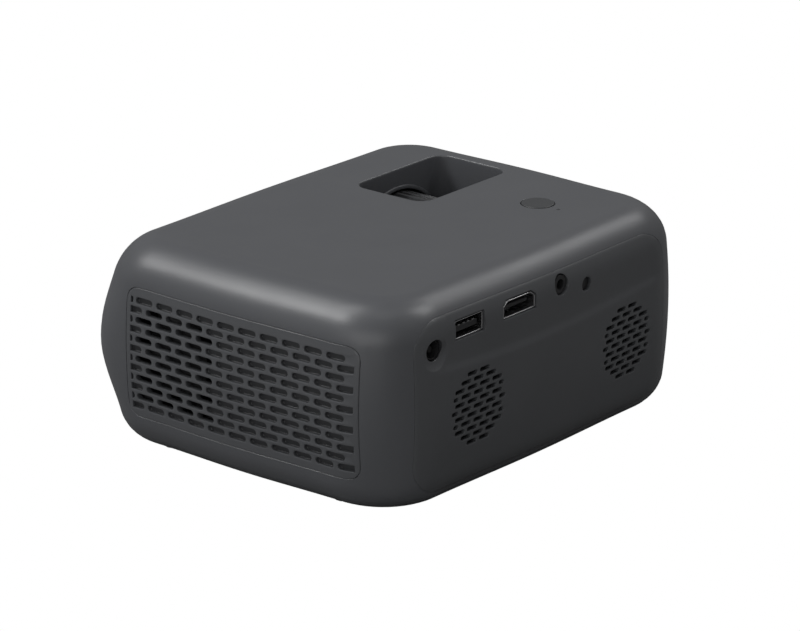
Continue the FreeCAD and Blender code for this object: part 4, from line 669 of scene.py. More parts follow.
def ventGrille():
    # cells in brick bond, every other row half a pitch along; a cut slot has a straight end at the margin
    (front, low), (rearEnd, high) = vent["box"]
    pitch, rowPitch, width = grille["pitch"], grille["rowPitch"], grille["width"]
    cutFront, cutRear = front + grille["margin"], rearEnd - grille["margin"]
    fieldFront, fieldRear = cutFront - grille["border"], cutRear + grille["border"]
    firstY, firstZ = front + grille["firstSlot"], high - grille["firstRow"]
    rows = int((firstZ - low - width) / rowPitch) + 1
    step = pitch / grille["across"]
    marks = firstY + step * np.arange(math.ceil((fieldFront + grille["clear"] - firstY) / step),
                                      math.floor((fieldRear - grille["clear"] - firstY) / step) + 1)
    marks = np.concatenate([[fieldFront], marks, [fieldRear]])
    sheet = newSheet()
    for row in range(rows):
        middle = firstZ - row * rowPitch
        shift = 0.5 if row % 2 else 0
        lastColumn = int((cutRear - firstY) / pitch)
        for column in range(-1, lastColumn + 1):
            centre = firstY + (column + shift) * pitch
            cellFront = max(centre - pitch / 2, fieldFront)
            cellRear = fieldRear if column == lastColumn else centre + pitch / 2
            across = marks[(marks > cellFront - near) & (marks < cellRear + near)]
            half = grille["length"] / 2
            start, end = max(centre - half, cutFront), min(centre + half, cutRear)
            cuts = (start > centre - half, end < centre + half)
            end = max(end, start + grille["sliver"])
            full = min(width / 2, (end - start) * grille["roundShare"])
            rounds = [grille["cutRound"] if cutHere else full for cutHere in cuts]
            isOpen = 0 < row < rows - 1 and 0 <= column + shift < grille["openColumns"]
            slot = (start, end, middle, min(width, 2 * (end - start) + grille["shortWidth"]), *rounds)
            addSlotCell(sheet, across, middle - rowPitch / 2, middle + rowPitch / 2, grille["upright"], slot,
                        None if isOpen else grille["blind"], onVent, form["wall"])
    top, bottom = firstZ + rowPitch / 2, firstZ - (rows - 0.5) * rowPitch
    upright = np.linspace(bottom, top, rows * grille["upright"] + 1)
    border = np.concatenate([np.stack([marks[:-1], np.full(len(marks) - 1, bottom)], -1),
                             np.stack([np.full(len(upright) - 1, marks[-1]), upright[:-1]], -1),
                             np.stack([marks[:0:-1], np.full(len(marks) - 1, top)], -1),
                             np.stack([np.full(len(upright) - 1, marks[0]), upright[:0:-1]], -1)])
    gap, lip = grille["gap"], form["lip"]
    outline = ((front + gap, low + gap), (rearEnd - gap, high - gap))
    radius = vent["corner"] - gap
    goal = roundedNearest(border, outline, radius, -lip)
    edge = roundedNearest(border, outline, radius)
    rings = [onVent(border, 0), onVent((border + goal) / 2, 0), onVent(goal, 0), onVent(edge, lip),
             onVent(edge, form["wall"]), onVent(border, form["wall"])]
    addGrid(sheet, np.stack(rings), True)
    piece = makePiece("ventGrille", sheet, "housing", "grille_plastic", ["vent_grille"])
    points = np.array([v.co for v in piece.data.vertices]) * 1000
    # painted shade mask: how far each point lies below the side, over the blind slots' depth
    markSunkShade(piece, (sideAt(points[:, 1], points[:, 2]) - points[:, 0]) / grille["blind"])
    return piece


def blockBorder(lines, upright, block):
    # first and last grid line, across and up, nearest to the sides of a box
    (left, right), (low, high) = block
    return ([int(np.argmin(abs(lines - v))) for v in (left, right)],
            [int(np.argmin(abs(upright - v))) for v in (low, high)])


def roundCorners(flat, box, radius):
    # inside a corner square the point p (in radii from the arc's centre) becomes p * max(px, py) / |p|
    (left, low), (right, high) = box
    core = np.stack([np.clip(flat[..., 0], left + radius, right - radius),
                     np.clip(flat[..., 1], low + radius, high - radius)], -1)
    away = (flat - core) / radius
    length = np.linalg.norm(away, axis=-1, keepdims=True)
    scale = np.abs(away).max(-1, keepdims=True) / np.maximum(length, 1e-9)
    return np.where(length > 1e-6, core + radius * away * scale, flat)


def panelSheet(lines, upright, box, radius, place, thickness, blocks, lip=form["lip"]):
    # front and back of a panel as one grid of lines, with blocks left out, and its rounded edge
    sheet = newSheet()
    flat = roundCorners(np.stack(np.meshgrid(lines, upright), -1), box, radius)
    keep = np.ones((len(upright) - 1, len(lines) - 1), bool)
    for (c0, c1), (r0, r1) in blocks:
        keep[r0:r1, c0:c1] = False
    addGrid(sheet, place(flat, 0), False, keep)
    addGrid(sheet, place(flat, thickness), False, keep)
    border = walkRound(flat, (0, len(upright) - 1), (0, len(lines) - 1))
    (left, low), (right, high) = box
    grown = ((left - lip, low - lip), (right + lip, high + lip))
    edge = roundedNearest(border + 1e-6 * (border - flat.mean((0, 1))), grown, radius + lip)
    edge = border + (edge - border) * 0.999
    addGrid(sheet, np.stack([place(border, 0), place(edge, lip), place(edge, thickness),
                             place(border, thickness)]), True)
    return sheet, flat


def addPort(sheet, flat, block, outline, place, thickness, lip=0.12):
    # outline(border, grow) gives the hole's edge for each border point
    (c0, c1), (r0, r1) = block
    border = walkRound(flat, (r0, r1), (c0, c1))
    goal, edge = outline(border, lip), outline(border, 0)
    rings = [place(border, 0), place((border + goal) / 2, 0), place(goal, 0),
             place(outline(border, lip * 0.3), lip * 0.3), place(edge, lip), place(edge, thickness),
             place((border + edge) / 2, thickness), place(border, thickness)]
    addGrid(sheet, np.stack(rings), True)


def circleOutline(x, z, radius):
    # each border point drawn to the circle: centre + (r + grow) * unit direction
    def outline(border, grow):
        return np.array([x, z]) + (radius + grow) * unitOf(border - np.array([x, z]))
    return outline


def boxOutline(x, z, wide, high, radius):
    # each border point drawn to the nearest point of a rounded rectangle
    def outline(border, grow):
        box = ((x - wide / 2, z - high / 2), (x + wide / 2, z + high / 2))
        return roundedNearest(border, box, radius, grow)
    return outline


# centre and size of each hole
sockets = {"dc": (57.8, 54.3, 3.6), "seat": 5.4, "seatDrop": 1.2, "seatFloor": 65.0, "seatLean": 0.6,
           "usb": (40.7, 58.0, 14.4, 6.6), "usbRound": 0.35,
           "hdmi": (16.4, 58.45, 16.6, 6.1), "chamfer": (2.1, 1.6), "phone": (-5.0, 59.4, 3.5),
           "eye": (-18.2, 56.2, 2.4)}
crease = {"middle": 14.0, "height": 45.4, "near": 2.6, "far": 1.2, "reach": 48.0, "depth": 0.6,
          "band": 3.2, "return": 15.0, "right": 62, "rightFade": 12, "left": -60, "leftFade": 6}
# shadeDepth is the depth below the rear face at which the painted shade in its slots and holes is full
speaker = {"right": 37.4, "left": -40.2, "height": 30.9, "pitch": 6.05, "row": 2.285, "slot": 4.84,
           "width": 1.47, "across": 8, "upright": 4, "shadeDepth": 0.9, "lip": 0.12, "rowsUp": 5, "halfField": 2.5,
           "slots": {5: ((0.5, 1),), 4: ((0, 1), (1, 1)), 3: ((0.5, 1), (1.5, 1)),
                     2: ((0, 1), (1, 1), (1.83, 0.5)), 1: ((0.5, 1), (1.5, 1)),
                     0: ((0, 1), (1, 1), (1.92, 0.62))}}


def smoothStep(value):
    # s(t) = t^2 (3 - 2t), t held between 0 and 1
    part = np.clip(value, 0, 1)
    return part * part * (3 - 2 * part)


def onBack(flat, depth):
    # the panel above the crease is set back by depth * s((z - c) / band) * (1 - s((z - c - band) / return))
    x, z = flat[..., 0], flat[..., 1]
    bend = np.where(x > crease["middle"], crease["near"], crease["far"])
    line = crease["height"] + bend * ((x - crease["middle"]) / crease["reach"]) ** 2 - crease["band"] / 2
    setBack = smoothStep((z - line) / crease["band"])
    setBack *= 1 - smoothStep((z - line - crease["band"]) / crease["return"])
    fade = smoothStep((crease["right"] - x) / crease["rightFade"])
    fade *= smoothStep((x - crease["left"]) / crease["leftFade"])
    surface = onRear(flat)
    surface[..., 1] -= crease["depth"] * setBack * fade + depth
    return surface


def hdmiOutline(columns, rows):
    # rectangle with its two upper corners cut, grown by scaling about its centre
    x, z, wide, high = sockets["hdmi"]
    alongX, alongZ = sockets["chamfer"]

    def outline(border, grow):
        # in the border's order: bottom, right side, top and left side, the top's ends being the chamfers
        left, right, low, top = x - wide / 2, x + wide / 2, z - high / 2, z + high / 2
        corners = [((left, low), (right, low), columns), ((right, low), (right, top - alongZ), rows),
                   ((right, top - alongZ), (right - alongX, top), 2),
                   ((right - alongX, top), (left + alongX, top), columns - 4),
                   ((left + alongX, top), (left, top - alongZ), 2),
                   ((left, top - alongZ), (left, low), rows)]
        flat = np.concatenate([np.array(a) + (np.array(b) - np.array(a)) * np.arange(n)[:, None] / n
                               for a, b, n in corners])
        centre = np.array([x, z])
        return centre + (flat - centre) * (1 + grow / np.array([wide / 2, high / 2]))
    return outline


def speakerLines(centre):
    # lines of a round field, each pitch split into equal parts
    span, parts = speaker["halfField"], speaker["across"]
    return centre + speaker["pitch"] * np.arange(-span * parts, span * parts + 1) / parts


def addSpeaker(sheet, centre, place, thickness):
    # rows of slots by their distance from the middle row: (slot's place in pitches, share of its length)
    pitch, half = speaker["pitch"], speaker["width"] / 2
    marks = speakerLines(centre)
    for row in range(-speaker["rowsUp"], speaker["rowsUp"] + 1):
        middle = speaker["height"] - row * speaker["row"]
        low, high = middle - speaker["row"] / 2, middle + speaker["row"] / 2
        slots = {round(sign * p * 2): (centre + sign * p * pitch, share * speaker["slot"])
                 for p, share in speaker["slots"][abs(row)] for sign in (-1, 1)}
        edges = [-5, -3, -1, 1, 3, 5] if row % 2 == 0 else [-5, -4, -2, 0, 2, 4, 5]  # in half pitches
        for start, end in zip(edges[:-1], edges[1:]):
            first, last = centre + start * pitch / 2, centre + end * pitch / 2
            across = marks[(marks > first - near) & (marks < last + near)]
            key = round((start + end) / 2)
            if end - start == 2 and key in slots:
                x, length = slots[key]
                slot = (x - length / 2, x + length / 2, middle, speaker["width"], half, half)
                addSlotCell(sheet, across, low, high, speaker["upright"], slot, None, place, thickness,
                            speaker["lip"])
            else:
                addPlainCell(sheet, across, low, high, speaker["upright"], place, thickness)


# boxes (left, low), (right, high) of the grid's blocks round the holes; sides follow the nearest grid lines
ports = {"dc": ((51.0, 47.1), (66.0, 64.0)), "usb": ((32.86, 54.0), (48.75, 62.0)),
         "hdmi": ((8.0, 54.0), (25.3, 62.0)), "phone": ((-9.2, 55.2), (-0.8, 63.1)),
         "eye": ((-21.4, 52.6), (-15.0, 60.0))}


def evenLines(stops, step):
    # lines about a step apart, with a line on each stop
    runs = [np.linspace(start, end, max(round((end - start) / step), 1), endpoint=False)
            for start, end in zip(stops, stops[1:])]
    return np.concatenate(runs + [[stops[-1]]])


def rearLines(box):
    # across: edge, left field, the sockets between the fields, right field, edge; up: edge, fields, sockets
    (left, low), (right, high) = box
    fields = [speakerLines(speaker[side]) for side in ("left", "right")]
    holes = [side[0] for name in ("eye", "phone") for side in ports[name]] + [ports["hdmi"][0][0]]
    lines = np.concatenate([evenLines([left, fields[0][0]], 1.6)[:-1], fields[0],
                            evenLines([fields[0][-1], *holes, fields[1][0]], 1.1)[1:-1], fields[1],
                            evenLines([fields[1][-1], right], 1.6)[1:]])
    count = 2 * speaker["rowsUp"] + 1
    creaseTop = crease["height"] + 1.5 * crease["band"]
    steps = np.linspace(-count / 2, count / 2, count * speaker["upright"] + 1)
    rows = speaker["height"] + speaker["row"] * steps
    upright = np.concatenate([evenLines([low, rows[0]], 1.6)[:-1], rows,
                              evenLines([rows[-1], ports["dc"][0][1], creaseTop], 0.6)[1:-1],
                              evenLines([creaseTop, *ports["usb"][0][1:], *ports["usb"][1][1:],
                                         ports["phone"][1][1], high], 1.2)])
    return lines, upright, [((field[0], rows[0]), (field[-1], rows[-1])) for field in fields]


def addSeat(sheet, flat, block):
    # a dish below and round the power socket, sinking towards its floor and leaning open at the bottom
    x, z, hole = sockets["dc"]
    seat, drop, lean = sockets["seat"], sockets["seatDrop"], sockets["seatLean"]
    border = walkRound(flat, block[1], block[0])
    rim = circleOutline(x, z - drop, seat + 0.1)(border, 0)
    rings = [onBack(border + (rim - border) * part, 0) for part in (0, 0.3, 0.6, 0.85)]
    dish = [(seat + 0.1, 0), (seat, 0.08), (seat - 0.12, 0.3), (seat * 0.93, 0.5), (seat * 0.88, 0.68),
            (seat * 0.82, 0.84), (hole + 0.5, 0.96), (hole + 0.08, 1), (hole, 1.1)]
    for radius, sunk in dish:
        edge = onBack(circleOutline(x, z - drop * (1 - min(sunk, 1)), radius)(border, 0), 0)
        tilt = smoothStep((z + seat * lean - edge[:, 2]) / seat)
        edge[:, 1] += (sockets["seatFloor"] - edge[:, 1]) * sunk * tilt
        rings.append(edge)
    through = circleOutline(x, z, hole)(border, 0)
    rings += [onBack(flatEdge, form["wall"]) for flatEdge in (through, (through + border) / 2, border)]
    addGrid(sheet, np.stack(rings), True)


def rearPanel():
    # a grid of lines on the set-back rear face, with the two slot fields and the socket holes let in
    gap = rear["gap"] + rear["lip"]
    (left, low), (right, high) = rear["box"]
    box = ((left + gap, low + gap), (right - gap, high - gap))
    lines, upright, fields = rearLines(box)
    blocks = {name: blockBorder(lines, upright, tuple(zip(*place))) for name, place in ports.items()}
    speakers = [blockBorder(lines, upright, tuple(zip(*place))) for place in fields]
    sheet, flat = panelSheet(lines, upright, box, rear["corner"] - gap, onBack, form["wall"],
                             speakers + list(blocks.values()), rear["lip"])
    for side in ("left", "right"):
        addSpeaker(sheet, speaker[side], onBack, form["wall"])
    (c0, c1), (r0, r1) = blocks["hdmi"]
    outlines = {"usb": boxOutline(*sockets["usb"], sockets["usbRound"]),
                "hdmi": hdmiOutline(c1 - c0, r1 - r0),
                "phone": circleOutline(*sockets["phone"]), "eye": circleOutline(*sockets["eye"])}
    for name, outline in outlines.items():
        addPort(sheet, flat, blocks[name], outline, onBack, form["wall"])
    addSeat(sheet, flat, blocks["dc"])
    piece = makePiece("rearPanel", sheet, "housing", "rear_plastic", ["rear_panel"])
    # painted shade mask: depth below the panel face over the shade depth; the power socket's dish is kept
    # clear of it
    points = np.array([v.co for v in piece.data.vertices]) * 1000
    below = onBack(points[:, [0, 2]], 0)[:, 1] - points[:, 1]
    x, z, hole = sockets["dc"]
    away = np.hypot(points[:, 0] - x, points[:, 2] - z)
    below[(away > hole + 0.05) & (away < sockets["seat"] + sockets["seatDrop"] + 0.3)] = 0
    markSunkShade(piece, below / speaker["shadeDepth"])
    return piece


def addTurned(sheet, profile, centre, axis, steps):
    # (radius, distance along the axis) pairs swept round an axis: centre + r (cos t, sin t) + distance
    turn = np.linspace(0, 2 * np.pi, steps, endpoint=False)
    across = [k for k in range(3) if k != "XYZ".index(axis)]
    rows = np.zeros((len(profile), steps, 3)) + np.array(centre)
    radius, along = np.array(profile, float).T
    rows[..., across[0]] += radius[:, None] * np.cos(turn)
    rows[..., across[1]] += radius[:, None] * np.sin(turn)
    rows[..., "XYZ".index(axis)] += along[:, None]
    addGrid(sheet, rows, True)


def quarterArc(radius, along, size, start, end, steps=4):
    # points (radius + size cos a, along + size sin a) of a profile, a running from start to end
    return [(radius + size * math.cos(math.radians(a)), along + size * math.sin(math.radians(a)))
            for a in np.linspace(start, end, steps + 1)]


powerButton = {"x": -41.4, "y": 28.675, "rest": 70.0, "radius": 5.5, "edge": 0.3, "dish": 0.12, "stem": 2.0,
               "length": 7.0, "underside": 3.8, "skirt": 2.0, "dishSteps": (0.94, 0.8, 0.6, 0.4, 0.2, 0)}


def makePowerButton():
    # turned profile: stem, underside, skirt, rounded edge and a shallow dish falling with r^2
    size, edge = powerButton["radius"], powerButton["edge"]
    inside = size - edge
    stem, length, underside = powerButton["stem"], powerButton["length"], powerButton["underside"]
    profile = [(0, -length), (stem, -length), (stem, -underside), (size, -underside),
               (size, -powerButton["skirt"])]
    profile += quarterArc(inside, -edge, edge, 0, 90, 5)
    profile += [(inside * part, -powerButton["dish"] * (1 - part ** 2)) for part in powerButton["dishSteps"]]
    sheet = newSheet()
    place = (powerButton["x"], powerButton["y"], powerButton["rest"])
    addTurned(sheet, profile, place, "Z", turnSteps["button"])
    return makePiece("powerButton", sheet, "power", "button_plastic", ["power_button"])


focus = {"front": -38.125, "rear": -2.125, "inner": 19.05, "root": 22.7, "rib": 0.9, "ribs": 48, "perRib": 10,
         "edge": 0.4, "plain": 1.1, "rise": 1.5, "full": 1.8, "boreEdge": 0.3, "crest": 0.3}


def focusRing():
    # radius = root + rib * s((cos(48 t) + crest) / (2 crest)), the ribs running out before each chamfered end
    turn = np.linspace(0, 2 * np.pi, focus["ribs"] * focus["perRib"], endpoint=False)
    crest = focus["crest"]
    wave = smoothStep((np.cos(focus["ribs"] * (turn - np.pi / 2)) + crest) / (2 * crest))
    front, rearEnd, root, inner = focus["front"], focus["rear"], focus["root"], focus["inner"]
    edge, bore, full = focus["edge"], focus["boreEdge"], focus["full"]
    ends = [(edge, 0), (focus["plain"], 0), (focus["rise"], 0.9)]  # distance from the end, share of a rib
    rows = [(front, root - edge, 0)] + [(front + along, root, share) for along, share in ends]
    rows += [(front + full + (rearEnd - front - 2 * full) * part, root, 1) for part in np.linspace(0, 1, 7)]
    rows += [(rearEnd - along, root, share) for along, share in ends[::-1]]
    rows += [(rearEnd, root - edge, 0), (rearEnd, inner + bore, 0), (rearEnd - bore, inner, 0),
             (front + bore, inner, 0), (front, inner + bore, 0), (front, root - edge, 0)]
    grid = []
    for y, radius, share in rows:
        reach = radius + focus["rib"] * share * wave
        grid.append(np.stack([lensAxis["x"] + reach * np.cos(turn), np.full(len(turn), y),
                              lensAxis["z"] + reach * np.sin(turn)], -1))
    sheet = newSheet()
    addGrid(sheet, np.stack(grid), True)
    return makePiece("focusRing", sheet, "focus", "ring_plastic", ["focus_ring"])


trim = {"front": -67.325, "rear": -58.475, "window": 18.6, "outer": 21.0, "edge": 0.5,
        "slope": [(1.2, 0), (0.9, 0.25), (0.5, 1.6), (0.45, 1.6), (0.2, 3.4), (0.15, 3.4), (0, 5.2)]}


def lensTrim():
    # turned ring: rounded nose outside, a slope falling inwards to the glass and two fine steps
    edge, outer, window = trim["edge"], trim["outer"], trim["window"]
    length = trim["rear"] - trim["front"]
    profile = [(outer, length)] + quarterArc(outer - edge, edge, edge, 0, -90, 5)
    profile += [(window + out, along) for out, along in trim["slope"]] + [(window, length), (outer, length)]
    sheet = newSheet()
    addTurned(sheet, profile, (lensAxis["x"], trim["front"], lensAxis["z"]), "Y", turnSteps["trim"])
    return makePiece("lensTrim", sheet, "housing", "trim_metal", ["lens_trim"])


feet = {"places": [(x, y) for x in (-49.2, 49.2) for y in (-35.225, 41.575)], "radius": 5.0, "height": 1.6,
        "edge": 0.45, "groove": [(3.4, 0), (3.3, 0.15), (2.9, 0.15), (2.8, 0), (0, 0)]}


def footPads():
    # four turned pads with a rounded lower edge and a ring groove
    sheet = newSheet()
    radius, height, edge = feet["radius"], feet["height"], feet["edge"]
    profile = [(0, height), (radius, height), (radius, edge)]
    profile += quarterArc(radius - edge, edge, edge, 0, -90) + feet["groove"]
    for x, y in feet["places"]:
        addTurned(sheet, profile, (x, y, 0), "Z", turnSteps["foot"])
    return makePiece("footPads", sheet, "housing", "foot_rubber", ["foot_pads"])


def makeLensPanel():
    # the nose between its seams, following the form, with a round port for the lens trim
    gap = lensPanel["gap"] + form["lip"]
    (left, low), (right, high) = lensPanel["box"]
    box = ((left + gap, low + gap), (right - gap, high - gap))
    radius = trim["outer"] + lensPanel["clear"]
    across = lensAxis["x"] + np.linspace(-24, 24, 21)
    lines = np.concatenate([[box[0][0]], across, np.arange(across[-1] + lensPanel["step"], box[1][0] - 1,
                                                         lensPanel["step"]), [box[1][0]]])
    low, high = lensAxis["z"] - radius - 0.2, lensAxis["z"] + radius + 0.2
    upright = np.concatenate([[box[0][1]], np.linspace(low, high, 20), [box[1][1]]])
    port = ((1, len(across)), (1, len(upright) - 2))
    sheet, flat = panelSheet(lines, upright, box, lensPanel["corner"] - gap, onFront, form["wall"], [port])
    outline = circleOutline(lensAxis["x"], lensAxis["z"], radius)
    addPort(sheet, flat, port, outline, onFront, form["wall"], lensPanel["lip"])
    return makePiece("lensPanel", sheet, "housing", "gloss_black", ["lens_panel"])


bezel = {"box": ((-64.5, 4.6), (64.5, 12.9)), "corner": 0.5, "thick": 1.4,
         "eject": (50.0, 10.0, 7.4, 3.0, 0.9), "around": 0.8}


def trayBezel():
    # thin strip of the form in front of the tray with a round-cornered hole for the eject button
    gap = form["lip"]
    (left, low), (right, high) = bezel["box"]
    box = ((left + gap, low + gap), (right - gap, high - gap))
    x, z, wide, tall, radius = bezel["eject"]
    reach, rise = wide / 2 + bezel["around"], tall / 2 + bezel["around"] / 1.5
    hole, tallLines = np.linspace(x - reach, x + reach, 9), np.linspace(z - rise, z + rise, 5)
    lines = np.concatenate([np.linspace(box[0][0], hole[0], 40)[:-1], hole,
                            np.linspace(hole[-1], box[1][0], 8)[1:]])
    upright = np.concatenate([np.linspace(box[0][1], tallLines[0], 5)[:-1], tallLines, [box[1][1]]])
    port = ((39, 47), (4, 8))
    sheet, flat = panelSheet(lines, upright, box, bezel["corner"], onFront, bezel["thick"], [port])
    addPort(sheet, flat, port, boxOutline(x, z, wide, tall, radius), onFront, bezel["thick"], 0.1)
    return makePiece("trayBezel", sheet, "tray", "bezel_plastic", ["tray_bezel"])


shells = {"usb": (40.7, 57.9, 13.95, 6.1, 0.55), "usbEnds": (54.175, 65.2), "sheet": 0.35,
          "hdmi": (16.4, 58.4, 16.1, 5.6), "hdmiEnds": (54.475, 66.2), "floor": 1.0, "roll": 0.14}


def addSleeve(sheet, outline, ends, thick, floor):
    # open box: outside, rolled mouth of the sheet and inside down to a closed floor; outline(grow) is a loop
    back, mouth = ends
    roll = shells["roll"]
    rows = [(None, back), (0, back), (0, mouth - roll), (-0.35 * roll, mouth - 0.3 * roll), (-roll, mouth),
            (roll - thick, mouth), (-thick, mouth - roll), (-thick, back + floor), (None, back + floor)]
    grid = []
    for grow, y in rows:
        loop = outline(0 if grow is None else grow)
        if grow is None:
            loop = np.tile(loop.mean(0), (len(loop), 1))
        grid.append(np.stack([loop[:, 0], np.full(len(loop), y), loop[:, 1]], -1))
    addGrid(sheet, np.stack(grid), True)


def boxLoop(x, z, wide, high, radius):
    # loop of a rounded rectangle: core + (radius + grow) * direction
    core, away = roundedCore(((x - wide / 2, z - high / 2), (x + wide / 2, z + high / 2)), radius, (8, 4), 5)
    return lambda grow: core + (radius + grow) * away


def hdmiLoop(x, z, wide, high):
    # loop of a rectangle with its two upper corners cut, grown by scaling about its centre
    alongX, alongZ = sockets["chamfer"]
    half, tall = wide / 2, high / 2
    corners = np.array([(-half, -tall), (half, -tall), (half, tall - alongZ), (half - alongX, tall),
                        (alongX - half, tall), (-half, tall - alongZ)])
    steps = np.arange(6)[:, None] / 6
    flat = np.concatenate([a + (b - a) * steps for a, b in zip(corners, np.roll(corners, -1, 0))])
    return lambda grow: np.array([x, z]) + flat * (1 + grow / np.array([half, tall]))


def socketShells():
    # thin metal boxes just inside the two square holes
    x, z, wide, high, radius = shells["usb"]
    sheet = newSheet()
    addSleeve(sheet, boxLoop(x, z, wide, high, radius), shells["usbEnds"], shells["sheet"], shells["floor"])
    makePiece("usbShell", sheet, "housing", "socket_metal", ["usb_shell"])
    sheet = newSheet()
    addSleeve(sheet, hdmiLoop(*shells["hdmi"]), shells["hdmiEnds"], shells["sheet"], shells["floor"])
    makePiece("hdmiShell", sheet, "housing", "socket_metal", ["hdmi_shell"])


tongues = {"usb": (40.7, 57.7, 10.9, 1.9), "usbEnds": (55.175, 64.2), "contacts": (-3.5, -1.15, 1.15, 3.5),
           "contact": (58.8, 1.0, 0.28, 0.06), "contactEnds": (55.3, 64.1), "round": 0.2,
           "hdmi": (16.4, 58.7, 11.2, 1.2), "hdmiEnds": (55.475, 64.875)}


def addBar(sheet, loop, ends, edge=0.15):
    # solid bar with eased front edges
    rows = [(None, ends[0]), (0, ends[0]), (0, ends[1] - edge), (-edge, ends[1]), (None, ends[1])]
    grid = []
    for grow, y in rows:
        points = loop(0 if grow is None else grow)
        if grow is None:
            points = np.tile(points.mean(0), (len(points), 1))
        grid.append(np.stack([points[:, 0], np.full(len(points), y), points[:, 1]], -1))
    addGrid(sheet, np.stack(grid), True)


def socketTongues():
    # a plastic bar in each shell, with four contacts on the wider one
    sheet = newSheet()
    addBar(sheet, boxLoop(*tongues["usb"], tongues["round"]), tongues["usbEnds"])
    makePiece("usbTongue", sheet, "housing", "socket_plastic", ["usb_tongue"])
    x = tongues["usb"][0]
    sheet = newSheet()
    for place in tongues["contacts"]:
        addBar(sheet, boxLoop(x + place, *tongues["contact"]), tongues["contactEnds"], 0.05)
    makePiece("usbContacts", sheet, "housing", "socket_metal", [])
    sheet = newSheet()
    addBar(sheet, boxLoop(*tongues["hdmi"], tongues["round"]), tongues["hdmiEnds"])
    makePiece("hdmiTongue", sheet, "housing", "socket_plastic", ["hdmi_tongue"])


base = {"heights": [5.5, 4.4, 3.48, 3.03, 2.44, 1.87, 1.39, 1.098, 1.0],
        "innerHeights": [5.5, 5.2, 3.9, 3.6, 3.45, 3.35, 3.28, 3.23, 3.2],
        "tray": ((-64.6, 4.3), (64.6, 30.0)), "trayCorner": 0.3, "trayTrim": (6, 4), "clear": 3.2,
        "sink": 2.5, "sinkTop": 3.1, "screwHole": 1.55, "foot": 5.2, "footTop": 1.6, "halvings": 30,
        "span": 6.0}
screw = {"places": [(x, y) for x in (-70.5, 70.5) for y in (-32.825, 39.175)], "radius": 2.15, "low": 2.66,
         "high": 3.6, "shank": 1.25, "length": 10.6, "pitch": 0.9, "depth": 0.2,
         "pocket": [(0, 0.7), (0.9, 0.6), (1.05, 0.1), (1.3, 0)],
         "dome": [(0.35, 0.06), (0.08, 0.22), (0, 0.45)]}


def onUnder(flat, inset=0):
    # height where the side's outline reaches |x|, found by halving the span again and again
    low = np.full(flat.shape[:-1], form["underside"] + inset)
    high = low + base["span"]
    for _ in range(base["halvings"]):
        middle = (low + high) / 2
        short = sideAt(flat[..., 1], middle, inset) < abs(flat[..., 0])
        low, high = np.where(short, middle, low), np.where(short, high, middle)
    return np.stack([flat[..., 0], flat[..., 1], (low + high) / 2], -1)


def screwColumns(grid, x, y):
    # columns of the wrap on either side of a screw, in the order the wrap runs
    if x > 0:
        run = np.arange(frontRightArc, rearRightArc + wrap["arcSteps"] - 1)
        ahead, behind = grid[-1, run, 1] < y - base["clear"], grid[-1, run, 1] > y + base["clear"]
    else:
        run = np.arange(rearLeftArc, leftRun + wrap["sideSteps"] + 1)
        ahead, behind = grid[-1, run, 1] > y + base["clear"], grid[-1, run, 1] < y - base["clear"]
    return int(run[ahead][-1]), int(run[behind][0])


def caseScrews():
    # turned screws: round pocket, domed head and a shank grooved once every pitch
    radius, low, high = screw["radius"], screw["low"], screw["high"]
    shank, length, pitch = screw["shank"], screw["length"], screw["pitch"]
    profile = [(out, low + up) for out, up in screw["pocket"]]
    profile += [(radius - inwards, low + up) for inwards, up in screw["dome"]]
    profile += [(radius, high), (shank, high)]
    for z in np.arange(high + pitch / 3, length - pitch, pitch):
        profile += [(shank, z), (shank - screw["depth"], z + pitch / 2)]
    profile += [(shank, length - 0.6), (shank - 0.4, length), (0, length)]
    sheet = newSheet()
    for x, y in screw["places"]:
        addTurned(sheet, profile, (x, y, 0), "Z", turnSteps["screw"])
    return makePiece("caseScrews", sheet, "housing", "screw_steel", ["case_screws"])


def addScrewSink(sheet, outer, inner, place, block):
    # rings from the curved underside down a round sink, through the floor and back out to the inside
    x, y = place
    border, within = (walkRound(grid, block[:2], block[2:]) for grid in (outer, inner))

    def around(radius, edge):
        return circleOutline(x, y, radius)(edge[:, :2], 0)

    def level(radius, z):
        return np.concatenate([around(radius, border), np.full((len(border), 1), z)], 1)

    sink, top = base["sink"], base["sinkTop"]
    hole = onUnder(around(base["screwHole"], within), form["wall"])
    mouth = around(sink + 0.15, border)
    rings = [border, onUnder((border[:, :2] + mouth) / 2), onUnder(mouth),
             level(sink, top - 0.7), level(sink, top), level(base["screwHole"], top),
             hole, onUnder((within[:, :2] + hole[:, :2]) / 2, form["wall"]), within]
    rings[3][:, 2] = np.minimum(rings[3][:, 2], rings[2][:, 2] + 0.12)
    addGrid(sheet, np.stack(rings), True)


def addFootSeat(sheet, x, y):
    # eased edge and wall of the round seat that a foot is pressed into
    turn = np.linspace(0, 2 * np.pi, turnSteps["foot"], endpoint=False)
    rows = [(base["foot"] + 0.5, form["underside"]), (base["foot"] + 0.1, form["underside"]),
            (base["foot"], form["underside"] + 0.1), (base["foot"], base["footTop"])]
    addGrid(sheet, np.stack([np.stack([x + r * np.cos(turn), y + r * np.sin(turn), np.full(len(turn), z)], -1)
                             for r, z in rows]), True)


